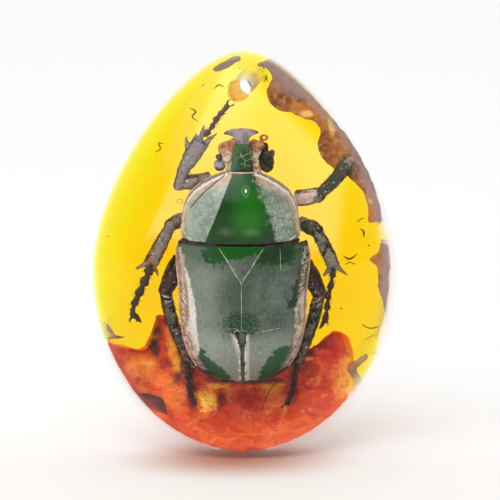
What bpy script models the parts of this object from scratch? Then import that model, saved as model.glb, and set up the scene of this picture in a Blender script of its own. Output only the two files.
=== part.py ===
"""Flower beetle sealed in a drop-shaped resin pendant.

Metres in the file, millimetres in the tables below. +Z is up, the drop stands on the small
flat of its blunt end, the beetle's back faces -Y, and a cord bore runs front to back near the
tip. The drop is parted at the face where the clear front pour meets the amber rear pour, so
that the beetle, the red cloud and the brown flakes each lie in a pocket open to that face.
"""
import math

import bmesh
import bpy
from mathutils import Vector

MM = 0.001

# The drop: a turned egg outline, flattened front to back, and flatter still behind.
DROP_HEIGHT = 65.0
DROP_HALF_WIDTH = 24.66
DROP_FRONT_DEPTH = 14.0
DROP_BACK_DEPTH = 7.0
FOOT_FORWARD = 2.2
WIDEST_Z = 29.14
FOOT_HALF_WIDTH = 6.0
TIP_HANDLE = 9.46
SHOULDER_HANDLE = 14.82
BELLY_HANDLE = 19.06
FOOT_HANDLE = (7.45, 2.83)
FOOT_MIDDLE_Y = (-FOOT_FORWARD - FOOT_HALF_WIDTH * (DROP_FRONT_DEPTH - DROP_BACK_DEPTH)
                 / (2 * DROP_HALF_WIDTH))
DROP_STEPS = 32
RINGS_ABOVE = 11
RINGS_BELOW = 10

# The face between the two pours, and the gap that parted pieces keep.
POUR_Y = 1.5
GAP = 0.3
POCKET = 0.45
BEETLE_POCKET = 0.65
POCKET_MOUTH_Y = POUR_Y + 1.0
TORSO_POCKET_BACK_Y = 3.65
OUTSIDE = 40.0
CLEAR_OF_DROP = 1.0
WELD_DISTANCE = 0.00001

# The cord bore.
BORE_RADIUS = 1.65
BORE_Z = 59.0
BORE_X = 0.58
BORE_SLANT = math.radians(11.8)
BORE_SIDES = 20

# The beetle's back. Rows of (z, half width, rim y, crest y), along the beetle's own axis.
BEETLE_X = -0.3
SHELL_THICKNESS = 0.5
BELOW_SHELLS = SHELL_THICKNESS + 3 * GAP
BACK_SQUARENESS = 2.4
BACK_FULLNESS = 0.62
PRONOTUM_ROWS = [
    (34.95, 7.6, -3.2, -7.7),
    (35.6, 8.7, -3.0, -7.8),
    (37.5, 8.6, -3.0, -7.9),
    (39.6, 8.45, -3.0, -7.8),
    (41.2, 7.95, -3.1, -7.5),
    (42.4, 7.3, -3.2, -7.1),
    (43.6, 5.9, -3.5, -6.6),
    (44.6, 4.2, -4.0, -6.1),
    (45.3, 2.6, -4.5, -5.7),
]
ELYTRA_ROWS = [
    (34.55, 8.4, -2.4, -7.6),
    (33.2, 9.1, -1.8, -7.8),
    (31.3, 9.3, -1.6, -8.0),
    (28.5, 8.75, -1.7, -8.05),
    (25.7, 8.4, -1.8, -8.0),
    (23.0, 8.35, -1.9, -7.9),
    (20.0, 8.0, -2.0, -7.6),
    (17.3, 7.05, -2.2, -6.9),
    (15.2, 5.8, -2.5, -6.1),
    (13.9, 4.4, -2.9, -5.4),
    (13.1, 2.7, -3.4, -4.8),
]
SUTURE_HALF_GAP = 0.2
SCUTELLUM_ROWS = [(34.5, 3.7), (32.8, 2.5), (31.1, 1.3), (29.6, 0.25)]
SCUTELLUM_GAP = 0.5
ELYTRON_COLUMNS = 7
PRONOTUM_COLUMNS = 11
SCUTELLUM_COLUMNS = 3

# The underside: rows of (z, half width, belly y), with a ledge between the belly plates.
BODY_SIDE_Y = 0.4
BELLY_LEAST_ROUND = 0.2
BELLY_FULLNESS = 0.8
BODY_COLUMNS = 9
BODY_ROWS = [
    (43.2, 4.0, 0.6), (41.8, 5.2, 1.6), (39.0, 6.4, 2.5), (35.8, 6.0, 2.9), (34.75, 5.6, 2.95),
    (33.6, 6.4, 3.0), (31.2, 7.0, 3.0), (28.6, 6.9, 2.8), (28.3, 6.8, 2.3), (25.6, 6.6, 2.7),
    (25.3, 6.5, 2.2), (22.6, 6.5, 2.4), (22.3, 6.4, 1.9), (19.6, 6.1, 2.0), (19.3, 6.0, 1.5),
    (16.8, 5.2, 1.2), (15.6, 4.4, 0.3), (14.6, 3.4, -0.9),
]

# The head: half sizes and centres.
HEAD_CORE = ((-0.1, -2.7, 47.75), (3.1, 1.9, 2.05), 0.7)
CLYPEUS = ((-0.1, -4.75, 47.75), (1.5, 0.6, 2.0), 0.2)
HEAD_LOBES = {
    "eye_left": ((-3.55, -3.3, 46.75), (1.0, 1.0, 1.0)),
    "eye_right": ((3.4, -2.2, 46.6), (0.9, 0.9, 0.9)),
    "cheek_left": ((-2.55, -3.6, 48.95), (1.15, 1.0, 1.35)),
    "club_right": ((3.5, -3.6, 47.6), (1.1, 0.9, 2.0)),
}
HORN_OUTLINE = [
    (-3.05, 51.5), (-2.0, 52.1), (-0.35, 52.35), (1.3, 52.15), (2.45, 51.65), (1.3, 51.1),
    (0.65, 50.4), (0.75, 48.9), (-1.2, 48.9), (-1.05, 50.4), (-1.8, 51.15),
]
HORN_FRONT_Y = -5.0
HORN_BACK_Y = -4.1
HORN_EDGE = 0.15
HEAD_POCKET_ROWS = [
    (45.7, 5.2, -2.6, -5.8), (50.4, 5.2, -2.6, -5.8), (50.8, 4.0, -4.2, -5.4),
    (52.7, 4.0, -4.2, -5.4),
]

# The legs, left ones at -X: (x, y, z, radius) along each segment, and spines as (root, tip).
TARSUS_SEGMENTS = 5
TARSUS_NECK_SHARE = 0.6
TARSUS_FLARE_PLACE = 0.85
SPINE_RADIUS = 0.42
SPINE_TIP_RADIUS = 0.08
LEGS = {
    "leg_front_left": {
        "femur": [(-6.4, -0.1, 43.2, 1.1), (-7.7, -0.7, 43.2, 1.2), (-9.1, -1.2, 43.1, 0.9)],
        "tibia": [(-9.35, -1.3, 42.6, 0.75), (-8.5, -1.6, 45.2, 0.95),
                  (-7.0, -2.0, 48.2, 1.15), (-5.9, -2.2, 50.3, 1.05)],
        "tarsus": [(-5.6, -2.2, 50.6, 0.5), (-4.7, -2.3, 52.0, 0.5), (-3.6, -2.4, 53.9, 0.5),
                   (-2.2, -2.4, 55.6, 0.4)],
        "spines": [((-7.3, -2.0, 49.0), (-8.1, -2.0, 50.7)),
                   ((-6.0, -2.2, 50.2), (-5.6, -2.2, 52.5)),
                   ((-5.6, -2.1, 49.8), (-3.8, -2.2, 51.3))],
    },
    "leg_front_right": {
        "femur": [(7.4, -0.4, 40.7, 1.25), (9.2, -0.7, 40.9, 1.3), (10.7, -1.0, 41.4, 1.15)],
        "tibia": [(10.6, -1.0, 41.1, 0.9), (12.6, -1.2, 43.0, 1.0), (14.4, -1.3, 45.1, 1.1),
                  (15.1, -1.2, 46.4, 1.0)],
        "tarsus": [(15.0, -1.2, 46.3, 0.5), (15.2, -0.9, 47.9, 0.5), (14.7, -0.5, 49.6, 0.4)],
        "spines": [((14.6, -1.2, 44.4), (16.4, -1.1, 45.2)),
                   ((14.9, -1.2, 46.0), (13.3, -1.3, 47.4))],
    },
    "leg_middle_left": {
        "femur": [(-8.2, 1.5, 37.2, 1.0), (-9.5, 0.6, 36.9, 1.05), (-10.4, -0.1, 36.4, 0.95)],
        "tibia": [(-10.4, -0.2, 36.4, 0.8), (-11.8, -0.4, 33.6, 1.0), (-13.2, -0.6, 30.9, 1.05)],
        "tarsus": [(-13.2, -0.6, 30.9, 0.55), (-13.9, -0.7, 28.7, 0.6),
                   (-15.2, -0.9, 26.2, 0.55), (-15.9, -1.0, 23.9, 0.45),
                   (-15.7, -1.0, 22.8, 0.4)],
        "spines": [((-13.0, -0.6, 31.4), (-15.6, -0.7, 29.9)),
                   ((-13.0, -0.5, 30.9), (-12.1, -0.5, 29.0)),
                   ((-15.8, -1.0, 23.1), (-14.6, -1.0, 21.9))],
    },
    "leg_middle_right": {
        "femur": [(7.9, 1.5, 36.6, 1.0), (9.3, 0.6, 36.2, 1.1), (10.4, 0.0, 35.7, 1.05)],
        "tibia": [(10.4, -0.1, 35.6, 0.85), (11.8, -0.4, 32.9, 1.0), (12.9, -0.6, 30.4, 0.95)],
        "tarsus": [(12.9, -0.6, 30.4, 0.5), (12.6, -0.7, 28.3, 0.5), (12.1, -0.9, 26.0, 0.5),
                   (11.9, -1.0, 23.4, 0.45), (11.7, -1.0, 22.3, 0.4)],
        "spines": [((12.7, -0.6, 30.9), (14.9, -0.6, 29.1)),
                   ((12.7, -0.5, 30.4), (11.3, -0.5, 29.0)),
                   ((11.8, -1.0, 22.7), (10.9, -1.0, 21.0))],
    },
    "leg_hind_left": {
        "femur": [(-8.7, 2.0, 31.3, 1.2), (-9.8, 1.5, 29.2, 1.35), (-10.9, 0.9, 26.9, 1.05)],
        "tibia": [(-11.0, 0.8, 26.6, 0.9), (-10.2, 0.8, 22.6, 0.95), (-8.8, 0.8, 18.6, 0.85),
                  (-7.8, 0.8, 15.9, 0.9)],
        "tarsus": [(-7.8, 0.8, 15.9, 0.5), (-7.7, 0.8, 13.6, 0.5), (-7.5, 0.7, 11.4, 0.45),
                   (-6.6, 0.7, 9.2, 0.4)],
        "spines": [((-7.9, 0.8, 16.4), (-9.0, 0.8, 14.6)),
                   ((-7.7, 0.8, 16.2), (-6.7, 0.8, 14.5))],
    },
    "leg_hind_right": {
        "femur": [(8.2, 2.0, 30.9, 1.2), (9.4, 1.5, 28.8, 1.35), (10.6, 0.9, 26.6, 1.05)],
        "tibia": [(10.7, 0.8, 26.3, 0.9), (9.9, 0.8, 22.4, 0.95), (8.6, 0.8, 18.4, 0.85),
                  (7.5, 0.8, 15.8, 0.9)],
        "tarsus": [(7.5, 0.8, 15.8, 0.5), (7.2, 0.8, 13.5, 0.5), (6.8, 0.7, 11.5, 0.45),
                   (6.0, 0.7, 9.4, 0.4)],
        "spines": [((7.7, 0.8, 16.3), (8.7, 0.8, 14.5)),
                   ((7.4, 0.8, 16.1), (6.5, 0.8, 14.4))],
    },
}

# The red cloud in the blunt end: peaks of (x, height, width) on its upper side, and lumps of
# (height, radians per millimetre along x, the same along y). Its toe reaches forward below
# the beetle, up to a lower level.
CLOUD_SHARE = 0.92
CLOUD_POCKET_SHARE = 0.95
CLOUD_FRONT_Y = POUR_Y + 2 * GAP
CLOUD_HEADROOM = 2 * GAP
TOE_FRONT_Y = -3.0
TOE_TOP_Z = 6.5
TOE_STEP = 0.1
CLOUD_CENTRE_Z = 30.0
CLOUD_CREST_Z = 17.2
CLOUD_PEAKS = [(-11.0, 4.6, 2.6), (12.2, 2.6, 3.2), (1.0, 1.4, 5.0), (-19.0, 1.6, 2.4)]
CLOUD_LUMPS = [(0.7, 0.9, 0.5), (0.5, -0.4, 1.9)]
CLOUD_COLUMNS = 14
CLOUD_ROW_Y = [TOE_FRONT_Y, CLOUD_FRONT_Y - TOE_STEP, CLOUD_FRONT_Y, 3.6, 5.2,
               DROP_BACK_DEPTH + CLEAR_OF_DROP]

# The brown flakes against the pour face, as outlines of (x, z).
FLAKE_FRONT_Y = 0.3
FLAKE_BACK_Y = 1.1
FLAKE_EDGE_INSET = 1.2
FLAKE_UPPER_INNER = [
    (2.6, 62.2), (3.6, 61.6), (4.4, 60.2), (3.7, 58.1), (3.4, 57.0), (4.4, 54.9), (6.5, 54.4),
    (9.9, 52.5), (11.0, 51.3), (10.5, 49.0), (11.0, 46.9), (13.1, 44.9), (16.7, 41.7),
    (17.8, 37.0),
]
FLAKE_UPPER_EDGE_Z = [36.5, 40.5, 45.0, 49.5, 53.5, 57.0, 60.0]
FLAKE_RIGHT_INNER = [(20.2, 32.8), (18.1, 31.2), (19.1, 29.9), (19.3, 26.5), (20.3, 22.8)]
FLAKE_RIGHT_EDGE_Z = [21.5, 25.0, 29.0, 32.0]
FLAKE_LEFT_INNER = [(-20.6, 22.4), (-19.0, 21.1), (-18.6, 19.6)]
FLAKE_LEFT_EDGE_Z = [19.3, 21.6]
FLAKE_COMMA = [(14.9, 16.0), (16.8, 16.9), (17.4, 16.0), (16.0, 15.2), (15.5, 14.0),
               (16.6, 12.2), (16.2, 11.5), (15.1, 13.0), (14.7, 14.7)]
FLAKE_CHIP = [(-14.7, 11.5), (-13.0, 11.9), (-11.3, 10.6), (-11.3, 8.6), (-13.3, 8.4)]
FLAKE_CREST = [(-4.9, 61.3), (-4.0, 62.0), (-2.6, 62.6), (-2.3, 61.9), (-3.3, 61.1),
               (-4.4, 60.5)]


def empty_scene():
    for obj in list(bpy.data.objects):
        bpy.data.objects.remove(obj, do_unlink=True)


def new_collection(name):
    collection = bpy.data.collections.new(name)
    bpy.context.scene.collection.children.link(collection)
    return collection


def link(name, mesh_or_curve, collection):
    obj = bpy.data.objects.new(name, mesh_or_curve)
    collection.objects.link(obj)
    return obj


def mesh_object(name, shape, collection):
    """An object from a bmesh, which is freed."""
    mesh = bpy.data.meshes.new(name)
    shape.to_mesh(mesh)
    shape.free()
    return link(name, mesh, collection)


def finish(obj, colour, roughness, metallic=0.0):
    """Give a piece its own material and smooth shading that keeps its real edges."""
    material = bpy.data.materials.new(obj.name)
    material.use_nodes = True
    shader = material.node_tree.nodes["Principled BSDF"]
    shader.inputs["Base Color"].default_value = (*colour, 1.0)
    shader.inputs["Roughness"].default_value = roughness
    shader.inputs["Metallic"].default_value = metallic
    obj.data.materials.clear()
    obj.data.materials.append(material)
    obj.data.shade_smooth()
    obj.data.set_sharp_from_angle(angle=math.radians(40))


def solid_of(obj, collection):
    """Turn a curve, or a mesh with modifiers, into a plain closed mesh in its place."""
    bpy.context.view_layer.update()
    graph = bpy.context.evaluated_depsgraph_get()
    mesh = bpy.data.meshes.new_from_object(obj.evaluated_get(graph))
    mesh.transform(obj.matrix_world)
    name = obj.name
    bpy.data.objects.remove(obj, do_unlink=True)
    shape = bmesh.new()
    shape.from_mesh(mesh)
    bmesh.ops.remove_doubles(shape, verts=shape.verts, dist=WELD_DISTANCE)
    bmesh.ops.recalc_face_normals(shape, faces=shape.faces)
    shape.to_mesh(mesh)
    shape.free()
    return link(name, mesh, collection)


def hide_cutter(obj):
    obj.hide_render = True
    obj.display_type = "WIRE"


def combine(obj, other, operation):
    modifier = obj.modifiers.new(f"{operation} {other.name}", "BOOLEAN")
    modifier.operation = operation
    modifier.solver = "EXACT"
    modifier.object = other


def fuse(name, pieces, collection):
    """Join overlapping closed pieces into one closed body."""
    first, *others = pieces
    for other in others:
        combine(first, other, "UNION")
    first.name = name
    body = solid_of(first, collection)
    for other in others:
        bpy.data.objects.remove(other, do_unlink=True)
    return body


def block(name, low, high, collection):
    """An axis-aligned block between two corners in millimetres."""
    shape = bmesh.new()
    bmesh.ops.create_cube(shape, size=1.0)
    size = [top - bottom for bottom, top in zip(low, high)]
    middle = [(top + bottom) / 2 for bottom, top in zip(low, high)]
    for vertex in shape.verts:
        vertex.co = Vector([(m + c * s) * MM for m, c, s in zip(middle, vertex.co, size)])
    return mesh_object(name, shape, collection)


def soft_block(name, centre, half_size, round_edge, collection):
    low = [c - h for c, h in zip(centre, half_size)]
    high = [c + h for c, h in zip(centre, half_size)]
    obj = block(name, low, high, collection)
    bevel = obj.modifiers.new("edges", "BEVEL")
    bevel.width = round_edge * MM
    bevel.segments = 2
    return obj


def ball(name, centre, half_size, collection):
    shape = bmesh.new()
    bmesh.ops.create_uvsphere(shape, u_segments=8, v_segments=6, radius=1.0)
    for vertex in shape.verts:
        vertex.co = Vector([(m + c * h) * MM for m, c, h in zip(centre, vertex.co, half_size)])
    return mesh_object(name, shape, collection)


def tube(name, points, collection, grow=0.0):
    """A round closed bar through points of (x, y, z, radius), its ends grown with its radius."""
    centres = [Vector(point[:3]) for point in points]
    centres[0] += (centres[0] - centres[1]).normalized() * grow
    centres[-1] += (centres[-1] - centres[-2]).normalized() * grow
    curve = bpy.data.curves.new(name, "CURVE")
    curve.dimensions = "3D"
    curve.bevel_depth = MM
    curve.bevel_resolution = 1
    curve.use_fill_caps = True
    spline = curve.splines.new("POLY")
    spline.points.add(len(points) - 1)
    for knot, centre, point in zip(spline.points, centres, points):
        knot.co = (*(centre * MM), 1.0)
        knot.radius = point[3] + grow
    return solid_of(link(name, curve, collection), collection)


def plate(name, outline, front_y, back_y, collection, edge=0.0):
    """A flat closed piece: an (x, z) outline filled between two depths, its edges chamfered."""
    curve = bpy.data.curves.new(name, "CURVE")
    curve.dimensions = "2D"
    curve.fill_mode = "BOTH"
    curve.bevel_depth = edge * MM
    curve.bevel_resolution = 0
    curve.extrude = ((back_y - front_y) / 2 - edge) * MM
    spline = curve.splines.new("POLY")
    spline.points.add(len(outline) - 1)
    for knot, (x, z) in zip(spline.points, outline):
        knot.co = (x * MM, z * MM, 0.0, 1.0)
    spline.use_cyclic_u = True
    obj = link(name, curve, collection)
    obj.rotation_euler.x = math.radians(90)
    obj.location.y = (front_y + back_y) / 2 * MM
    return solid_of(obj, collection)


def loft(name, rings, collection):
    """A closed skin through rings of equally many points, with flat ends."""
    shape = bmesh.new()
    loops = [[shape.verts.new(Vector(point) * MM) for point in ring] for ring in rings]
    for lower, upper in zip(loops, loops[1:]):
        for i in range(len(lower)):
            j = (i + 1) % len(lower)
            shape.faces.new((lower[i], lower[j], upper[j], upper[i]))
    shape.faces.new(loops[0])
    shape.faces.new(loops[-1])
    bmesh.ops.recalc_face_normals(shape, faces=shape.faces)
    return mesh_object(name, shape, collection)


def bezier(start, handle_a, handle_b, end, t):
    s = 1.0 - t
    return tuple(s**3 * a + 3 * s * s * t * b + 3 * s * t * t * c + t**3 * d
                 for a, b, c, d in zip(start, handle_a, handle_b, end))


def drop_profile():
    """The egg outline as (radius, z), from the tip down its outer side to the foot."""
    tip = (0.0, DROP_HEIGHT)
    widest = (DROP_HALF_WIDTH, WIDEST_Z)
    foot = (FOOT_HALF_WIDTH, 0.0)
    upper = [bezier(tip, (TIP_HANDLE, DROP_HEIGHT),
                    (DROP_HALF_WIDTH, WIDEST_Z + SHOULDER_HANDLE), widest, i / RINGS_ABOVE)
             for i in range(RINGS_ABOVE)]
    lower = [bezier(widest, (DROP_HALF_WIDTH, WIDEST_Z - BELLY_HANDLE),
                    (FOOT_HALF_WIDTH + FOOT_HANDLE[0], FOOT_HANDLE[1]), foot, i / RINGS_BELOW)
             for i in range(RINGS_BELOW + 1)]
    return upper + lower + [(0.0, 0.0)]


def flattened(radius, y):
    """Half the drop's depth where its half width is radius, before or behind the rim."""
    return radius * (DROP_FRONT_DEPTH if y < 0.0 else DROP_BACK_DEPTH) / DROP_HALF_WIDTH


def rim_y(z):
    """Depth of the drop's outline: it swings forward to a foot below the drop's weight."""
    below = max(0.0, 1.0 - z / WIDEST_Z)
    return -FOOT_FORWARD * below * below


def drop(name, collection, share=1.0):
    """The whole drop, or a smaller one of the given share about the cloud's centre."""
    profile = drop_profile()
    mesh = bpy.data.meshes.new(name)
    points = [(radius * share * MM, 0.0, (CLOUD_CENTRE_Z + (z - CLOUD_CENTRE_Z) * share) * MM)
              for radius, z in profile]
    mesh.from_pydata(points, [(i, i + 1) for i in range(len(points) - 1)], [])
    obj = link(name, mesh, collection)
    screw = obj.modifiers.new("turn", "SCREW")
    screw.steps = DROP_STEPS
    screw.render_steps = DROP_STEPS
    screw.use_merge_vertices = True
    screw.merge_threshold = WELD_DISTANCE
    body = solid_of(obj, collection)
    for vertex in body.data.vertices:
        vertex.co.y = flattened(vertex.co.y, vertex.co.y) + rim_y(vertex.co.z / MM) * MM
    return body


def drop_half_width(z, y):
    """Half the drop's width at a height and a depth."""
    profile = drop_profile()
    for (upper_r, upper_z), (lower_r, lower_z) in zip(profile, profile[1:]):
        if lower_z <= z <= upper_z and upper_z > lower_z:
            radius = lower_r + (upper_r - lower_r) * (z - lower_z) / (upper_z - lower_z)
            share = (y - rim_y(z)) / flattened(radius, y - rim_y(z))
            return radius * math.sqrt(max(0.0, 1.0 - share * share))
    return 0.0


def back_y(row, u):
    """Depth of the beetle's back on a row, at a share u of its half width from the axis."""
    _, _, rim, crest = row
    dome = (1.0 - min(1.0, abs(u)) ** BACK_SQUARENESS) ** BACK_FULLNESS
    return rim + (crest - rim) * dome


def row_at(rows, z):
    """A row of a table of rows, blended between the two nearest heights."""
    ordered = sorted(rows)
    if z <= ordered[0][0]:
        return ordered[0]
    for low, high in zip(ordered, ordered[1:]):
        if z <= high[0]:
            t = (z - low[0]) / (high[0] - low[0])
            return tuple(a + (b - a) * t for a, b in zip(low, high))
    return ordered[-1]


def below_shells_y(x, z):
    """Depth just clear of the shells' inner side, at a distance from the beetle's axis."""
    depths = []
    for rows in (ELYTRA_ROWS, PRONOTUM_ROWS):
        heights = [row[0] for row in rows]
        if min(heights) - SHELL_THICKNESS <= z <= max(heights) + SHELL_THICKNESS:
            row = row_at(rows, z)
            depths.append(back_y(row, x / row[1]))
    return max(depths) + BELOW_SHELLS


def shell(name, rows, spans, columns, collection):
    """A curved plate of even thickness on the beetle's back, between spans of x on each row."""
    shape = bmesh.new()
    bmesh.ops.create_grid(shape, x_segments=columns - 1, y_segments=len(rows) - 1, size=1.0)
    for vertex in shape.verts:
        index = round((vertex.co.y + 1.0) / 2.0 * (len(rows) - 1))
        row = rows[index]
        start, end = spans[index]
        share = (vertex.co.x + 1.0) / 2.0
        u = start + (end - start) * share
        u = math.sin(u * math.pi / 2)
        vertex.co = Vector((BEETLE_X + u * row[1], back_y(row, u), row[0])) * MM
    obj = mesh_object(name, shape, collection)
    solidify = obj.modifiers.new("thickness", "SOLIDIFY")
    solidify.thickness = SHELL_THICKNESS * MM
    solidify.offset = -1.0
    return obj


def spread(x, row):
    """The even spread value whose sine is x over the row's half width."""
    return math.asin(max(-1.0, min(1.0, x / row[1]))) * 2 / math.pi


def scutellum_half_width(z):
    if z < SCUTELLUM_ROWS[-1][0]:
        return 0.0
    return row_at(SCUTELLUM_ROWS, z)[1]


def make_pronotum(collection):
    spans = [(-1.0, 1.0)] * len(PRONOTUM_ROWS)
    return shell("pronotum", PRONOTUM_ROWS, spans, PRONOTUM_COLUMNS, collection)


def make_elytron(name, side, collection):
    rows = sorted(ELYTRA_ROWS + [row_at(ELYTRA_ROWS, SCUTELLUM_ROWS[-1][0])])
    spans = []
    for row in rows:
        shield = scutellum_half_width(row[0])
        inner = max(SUTURE_HALF_GAP, shield + SCUTELLUM_GAP if shield else 0.0)
        spans.append((side * spread(inner, row), side * 1.0))
    if side > 0:
        return shell(name, rows, spans, ELYTRON_COLUMNS, collection)
    return shell(name, rows, [(end, start) for start, end in spans], ELYTRON_COLUMNS, collection)


def make_scutellum(collection):
    rows = sorted(row_at(ELYTRA_ROWS, z) for z, _ in SCUTELLUM_ROWS)
    spans = []
    for row in rows:
        edge = spread(scutellum_half_width(row[0]), row)
        spans.append((-edge, edge))
    return shell("scutellum", rows, spans, SCUTELLUM_COLUMNS, collection)


def make_body(collection):
    """Thorax and abdomen as one lofted underside beneath the shells."""
    rings = []
    for z, half, belly in BODY_ROWS:
        places = [2 * i / (BODY_COLUMNS - 1) - 1 for i in range(BODY_COLUMNS)]
        back = [(BEETLE_X + s * half, below_shells_y(s * half, z), z) for s in places]
        side = min(BODY_SIDE_Y, belly - BELLY_LEAST_ROUND)
        under = [(BEETLE_X + s * half, side + (belly - side) * (1 - s * s) ** BELLY_FULLNESS, z)
                 for s in reversed(places)]
        rings.append(back + under)
    return loft("body", rings, collection)


def make_head(collection):
    pieces = [soft_block("head", *HEAD_CORE, collection)]
    pieces.append(soft_block("clypeus", *CLYPEUS, collection))
    for name, (centre, half_size) in HEAD_LOBES.items():
        pieces.append(ball(name, centre, half_size, collection))
    pieces.append(plate("horn", HORN_OUTLINE, HORN_FRONT_Y, HORN_BACK_Y, collection, HORN_EDGE))
    return fuse("head", pieces, collection)


def along(path, share):
    """The point and radius at a share of a path's length."""
    lengths = [(Vector(b[:3]) - Vector(a[:3])).length for a, b in zip(path, path[1:])]
    rest = share * sum(lengths)
    for a, b, length in zip(path, path[1:], lengths):
        if rest <= length or b is path[-1]:
            t = min(1.0, rest / length)
            return tuple(p + (q - p) * t for p, q in zip(a, b))
        rest -= length
    return path[-1]


def tarsus_beads(path):
    """The foot's joints, each narrow where it starts and flared where it ends."""
    beads = []
    for i in range(TARSUS_SEGMENTS):
        x, y, z, radius = along(path, i / TARSUS_SEGMENTS)
        beads.append((x, y, z, radius * TARSUS_NECK_SHARE))
        x, y, z, radius = along(path, (i + TARSUS_FLARE_PLACE) / TARSUS_SEGMENTS)
        beads.append((x, y, z, radius))
    return beads


def spine(name, root, tip, collection, grow=0.0):
    """A pointed spine; its root lies inside the segment that carries it."""
    return tube(name, [(*root, SPINE_RADIUS), (*tip, SPINE_TIP_RADIUS)], collection, grow)


def leg(name, segments, collection, grow=0.0):
    """Thigh, shin, foot and spines in one piece; grown, it is the leg's pocket."""
    tarsus = segments["tarsus"] if grow else tarsus_beads(segments["tarsus"])
    pieces = [tube(f"{name}.tibia", segments["tibia"], collection, grow)]
    pieces.append(tube(f"{name}.femur", segments["femur"], collection, grow))
    pieces.append(tube(f"{name}.tarsus", tarsus, collection, grow))
    for index, (root, tip) in enumerate(segments["spines"]):
        pieces.append(spine(f"{name}.spine{index}", root, tip, collection, grow))
    return fuse(name, pieces, collection)


def beetle_pocket(collection):
    """Room for the head, back and underside, through the pour face."""
    rings = []
    rows = sorted(ELYTRA_ROWS + PRONOTUM_ROWS + HEAD_POCKET_ROWS)
    first, last = rows[0], rows[-1]
    rows = ([(first[0] - BEETLE_POCKET, *first[1:])] + rows
            + [(last[0] + POCKET, *last[1:])])
    for z, half, rim, crest in rows:
        grown = (z, half + BEETLE_POCKET, rim - BEETLE_POCKET, crest - BEETLE_POCKET)
        places = [math.sin((2 * i / (BODY_COLUMNS - 1) - 1) * math.pi / 2)
                  for i in range(BODY_COLUMNS)]
        back = [(BEETLE_X + s * grown[1], back_y(grown, s), z) for s in places]
        mouth = [(BEETLE_X + s * grown[1], TORSO_POCKET_BACK_Y, z) for s in (1.0, -1.0)]
        rings.append(back + mouth)
    return loft("beetle_pocket", rings, collection)


def cloud_top(x, y):
    """Height of the red cloud's lumpy upper surface, and of its flat toe before that."""
    if y < CLOUD_FRONT_Y:
        return TOE_TOP_Z
    lumps = sum(height * math.sin(turns_x * x + turns_y * y)
                for height, turns_x, turns_y in CLOUD_LUMPS)
    peaks = sum(height * math.exp(-((x - place) / width) ** 2)
                for place, height, width in CLOUD_PEAKS)
    return CLOUD_CREST_Z + peaks + lumps


def make_cloud(name, share, forward, rise, collection):
    """A small drop, kept only below the cloud's upper surface and behind its front faces."""
    shape = bmesh.new()
    last_row = len(CLOUD_ROW_Y) - 1
    bmesh.ops.create_grid(shape, x_segments=CLOUD_COLUMNS, y_segments=last_row, size=1.0)
    for vertex in shape.verts:
        x = vertex.co.x * (DROP_HALF_WIDTH + CLEAR_OF_DROP)
        y = CLOUD_ROW_Y[round((vertex.co.y + 1.0) / 2.0 * last_row)]
        place_y = y - forward if y <= CLOUD_FRONT_Y else y
        vertex.co = Vector((x, place_y, cloud_top(x, y) + rise)) * MM
    bmesh.ops.triangulate(shape, faces=shape.faces, quad_method="FIXED")
    skirt = bmesh.ops.extrude_face_region(shape, geom=list(shape.faces))
    for vertex in [item for item in skirt["geom"] if isinstance(item, bmesh.types.BMVert)]:
        vertex.co.z = -MM
    bmesh.ops.recalc_face_normals(shape, faces=shape.faces)
    lump = mesh_object(f"{name}.lump", shape, collection)
    small_drop = drop(name, collection, share)
    combine(small_drop, lump, "INTERSECT")
    body = solid_of(small_drop, collection)
    bpy.data.objects.remove(lump, do_unlink=True)
    return body


def flake_outlines():
    """Each flake's outline; the edge flakes follow the drop's own edge on their outer side."""
    def edge(heights, side):
        return [(side * (drop_half_width(z, POUR_Y) - FLAKE_EDGE_INSET), z)
                for z in heights]
    return {
        "flake_upper_right": FLAKE_UPPER_INNER + edge(FLAKE_UPPER_EDGE_Z, 1),
        "flake_right_edge": FLAKE_RIGHT_INNER + edge(FLAKE_RIGHT_EDGE_Z, 1),
        "flake_left_edge": FLAKE_LEFT_INNER + edge(FLAKE_LEFT_EDGE_Z, -1),
        "flake_lower_right": FLAKE_COMMA,
        "flake_lower_left": FLAKE_CHIP,
        "flake_top_left": FLAKE_CREST,
    }


def grown_outline(outline, amount):
    """An outline moved outwards by an amount, each point along its own corner's normal."""
    area = sum(a[0] * b[1] - b[0] * a[1] for a, b in zip(outline, outline[1:] + outline[:1]))
    turn = 1.0 if area > 0 else -1.0
    result = []
    for before, here, after in zip(outline[-1:] + outline, outline, outline[1:] + outline[:1]):
        one = (Vector(here) - Vector(before)).normalized()
        two = (Vector(after) - Vector(here)).normalized()
        normal = Vector((one.y + two.y, -one.x - two.x)).normalized() * turn
        reach = amount / max(0.5, abs(normal.dot(Vector((one.y, -one.x)))))
        result.append((here[0] + normal.x * reach, here[1] + normal.y * reach))
    return result


def make_bore(collection):
    shape = bmesh.new()
    bmesh.ops.create_cone(shape, cap_ends=True, segments=BORE_SIDES, radius1=BORE_RADIUS * MM,
                          radius2=BORE_RADIUS * MM, depth=OUTSIDE * MM)
    obj = mesh_object("bore", shape, collection)
    obj.location = Vector((BORE_X, 0.0, BORE_Z)) * MM
    obj.rotation_euler = (math.radians(90), 0.0, -BORE_SLANT)
    return obj


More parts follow.
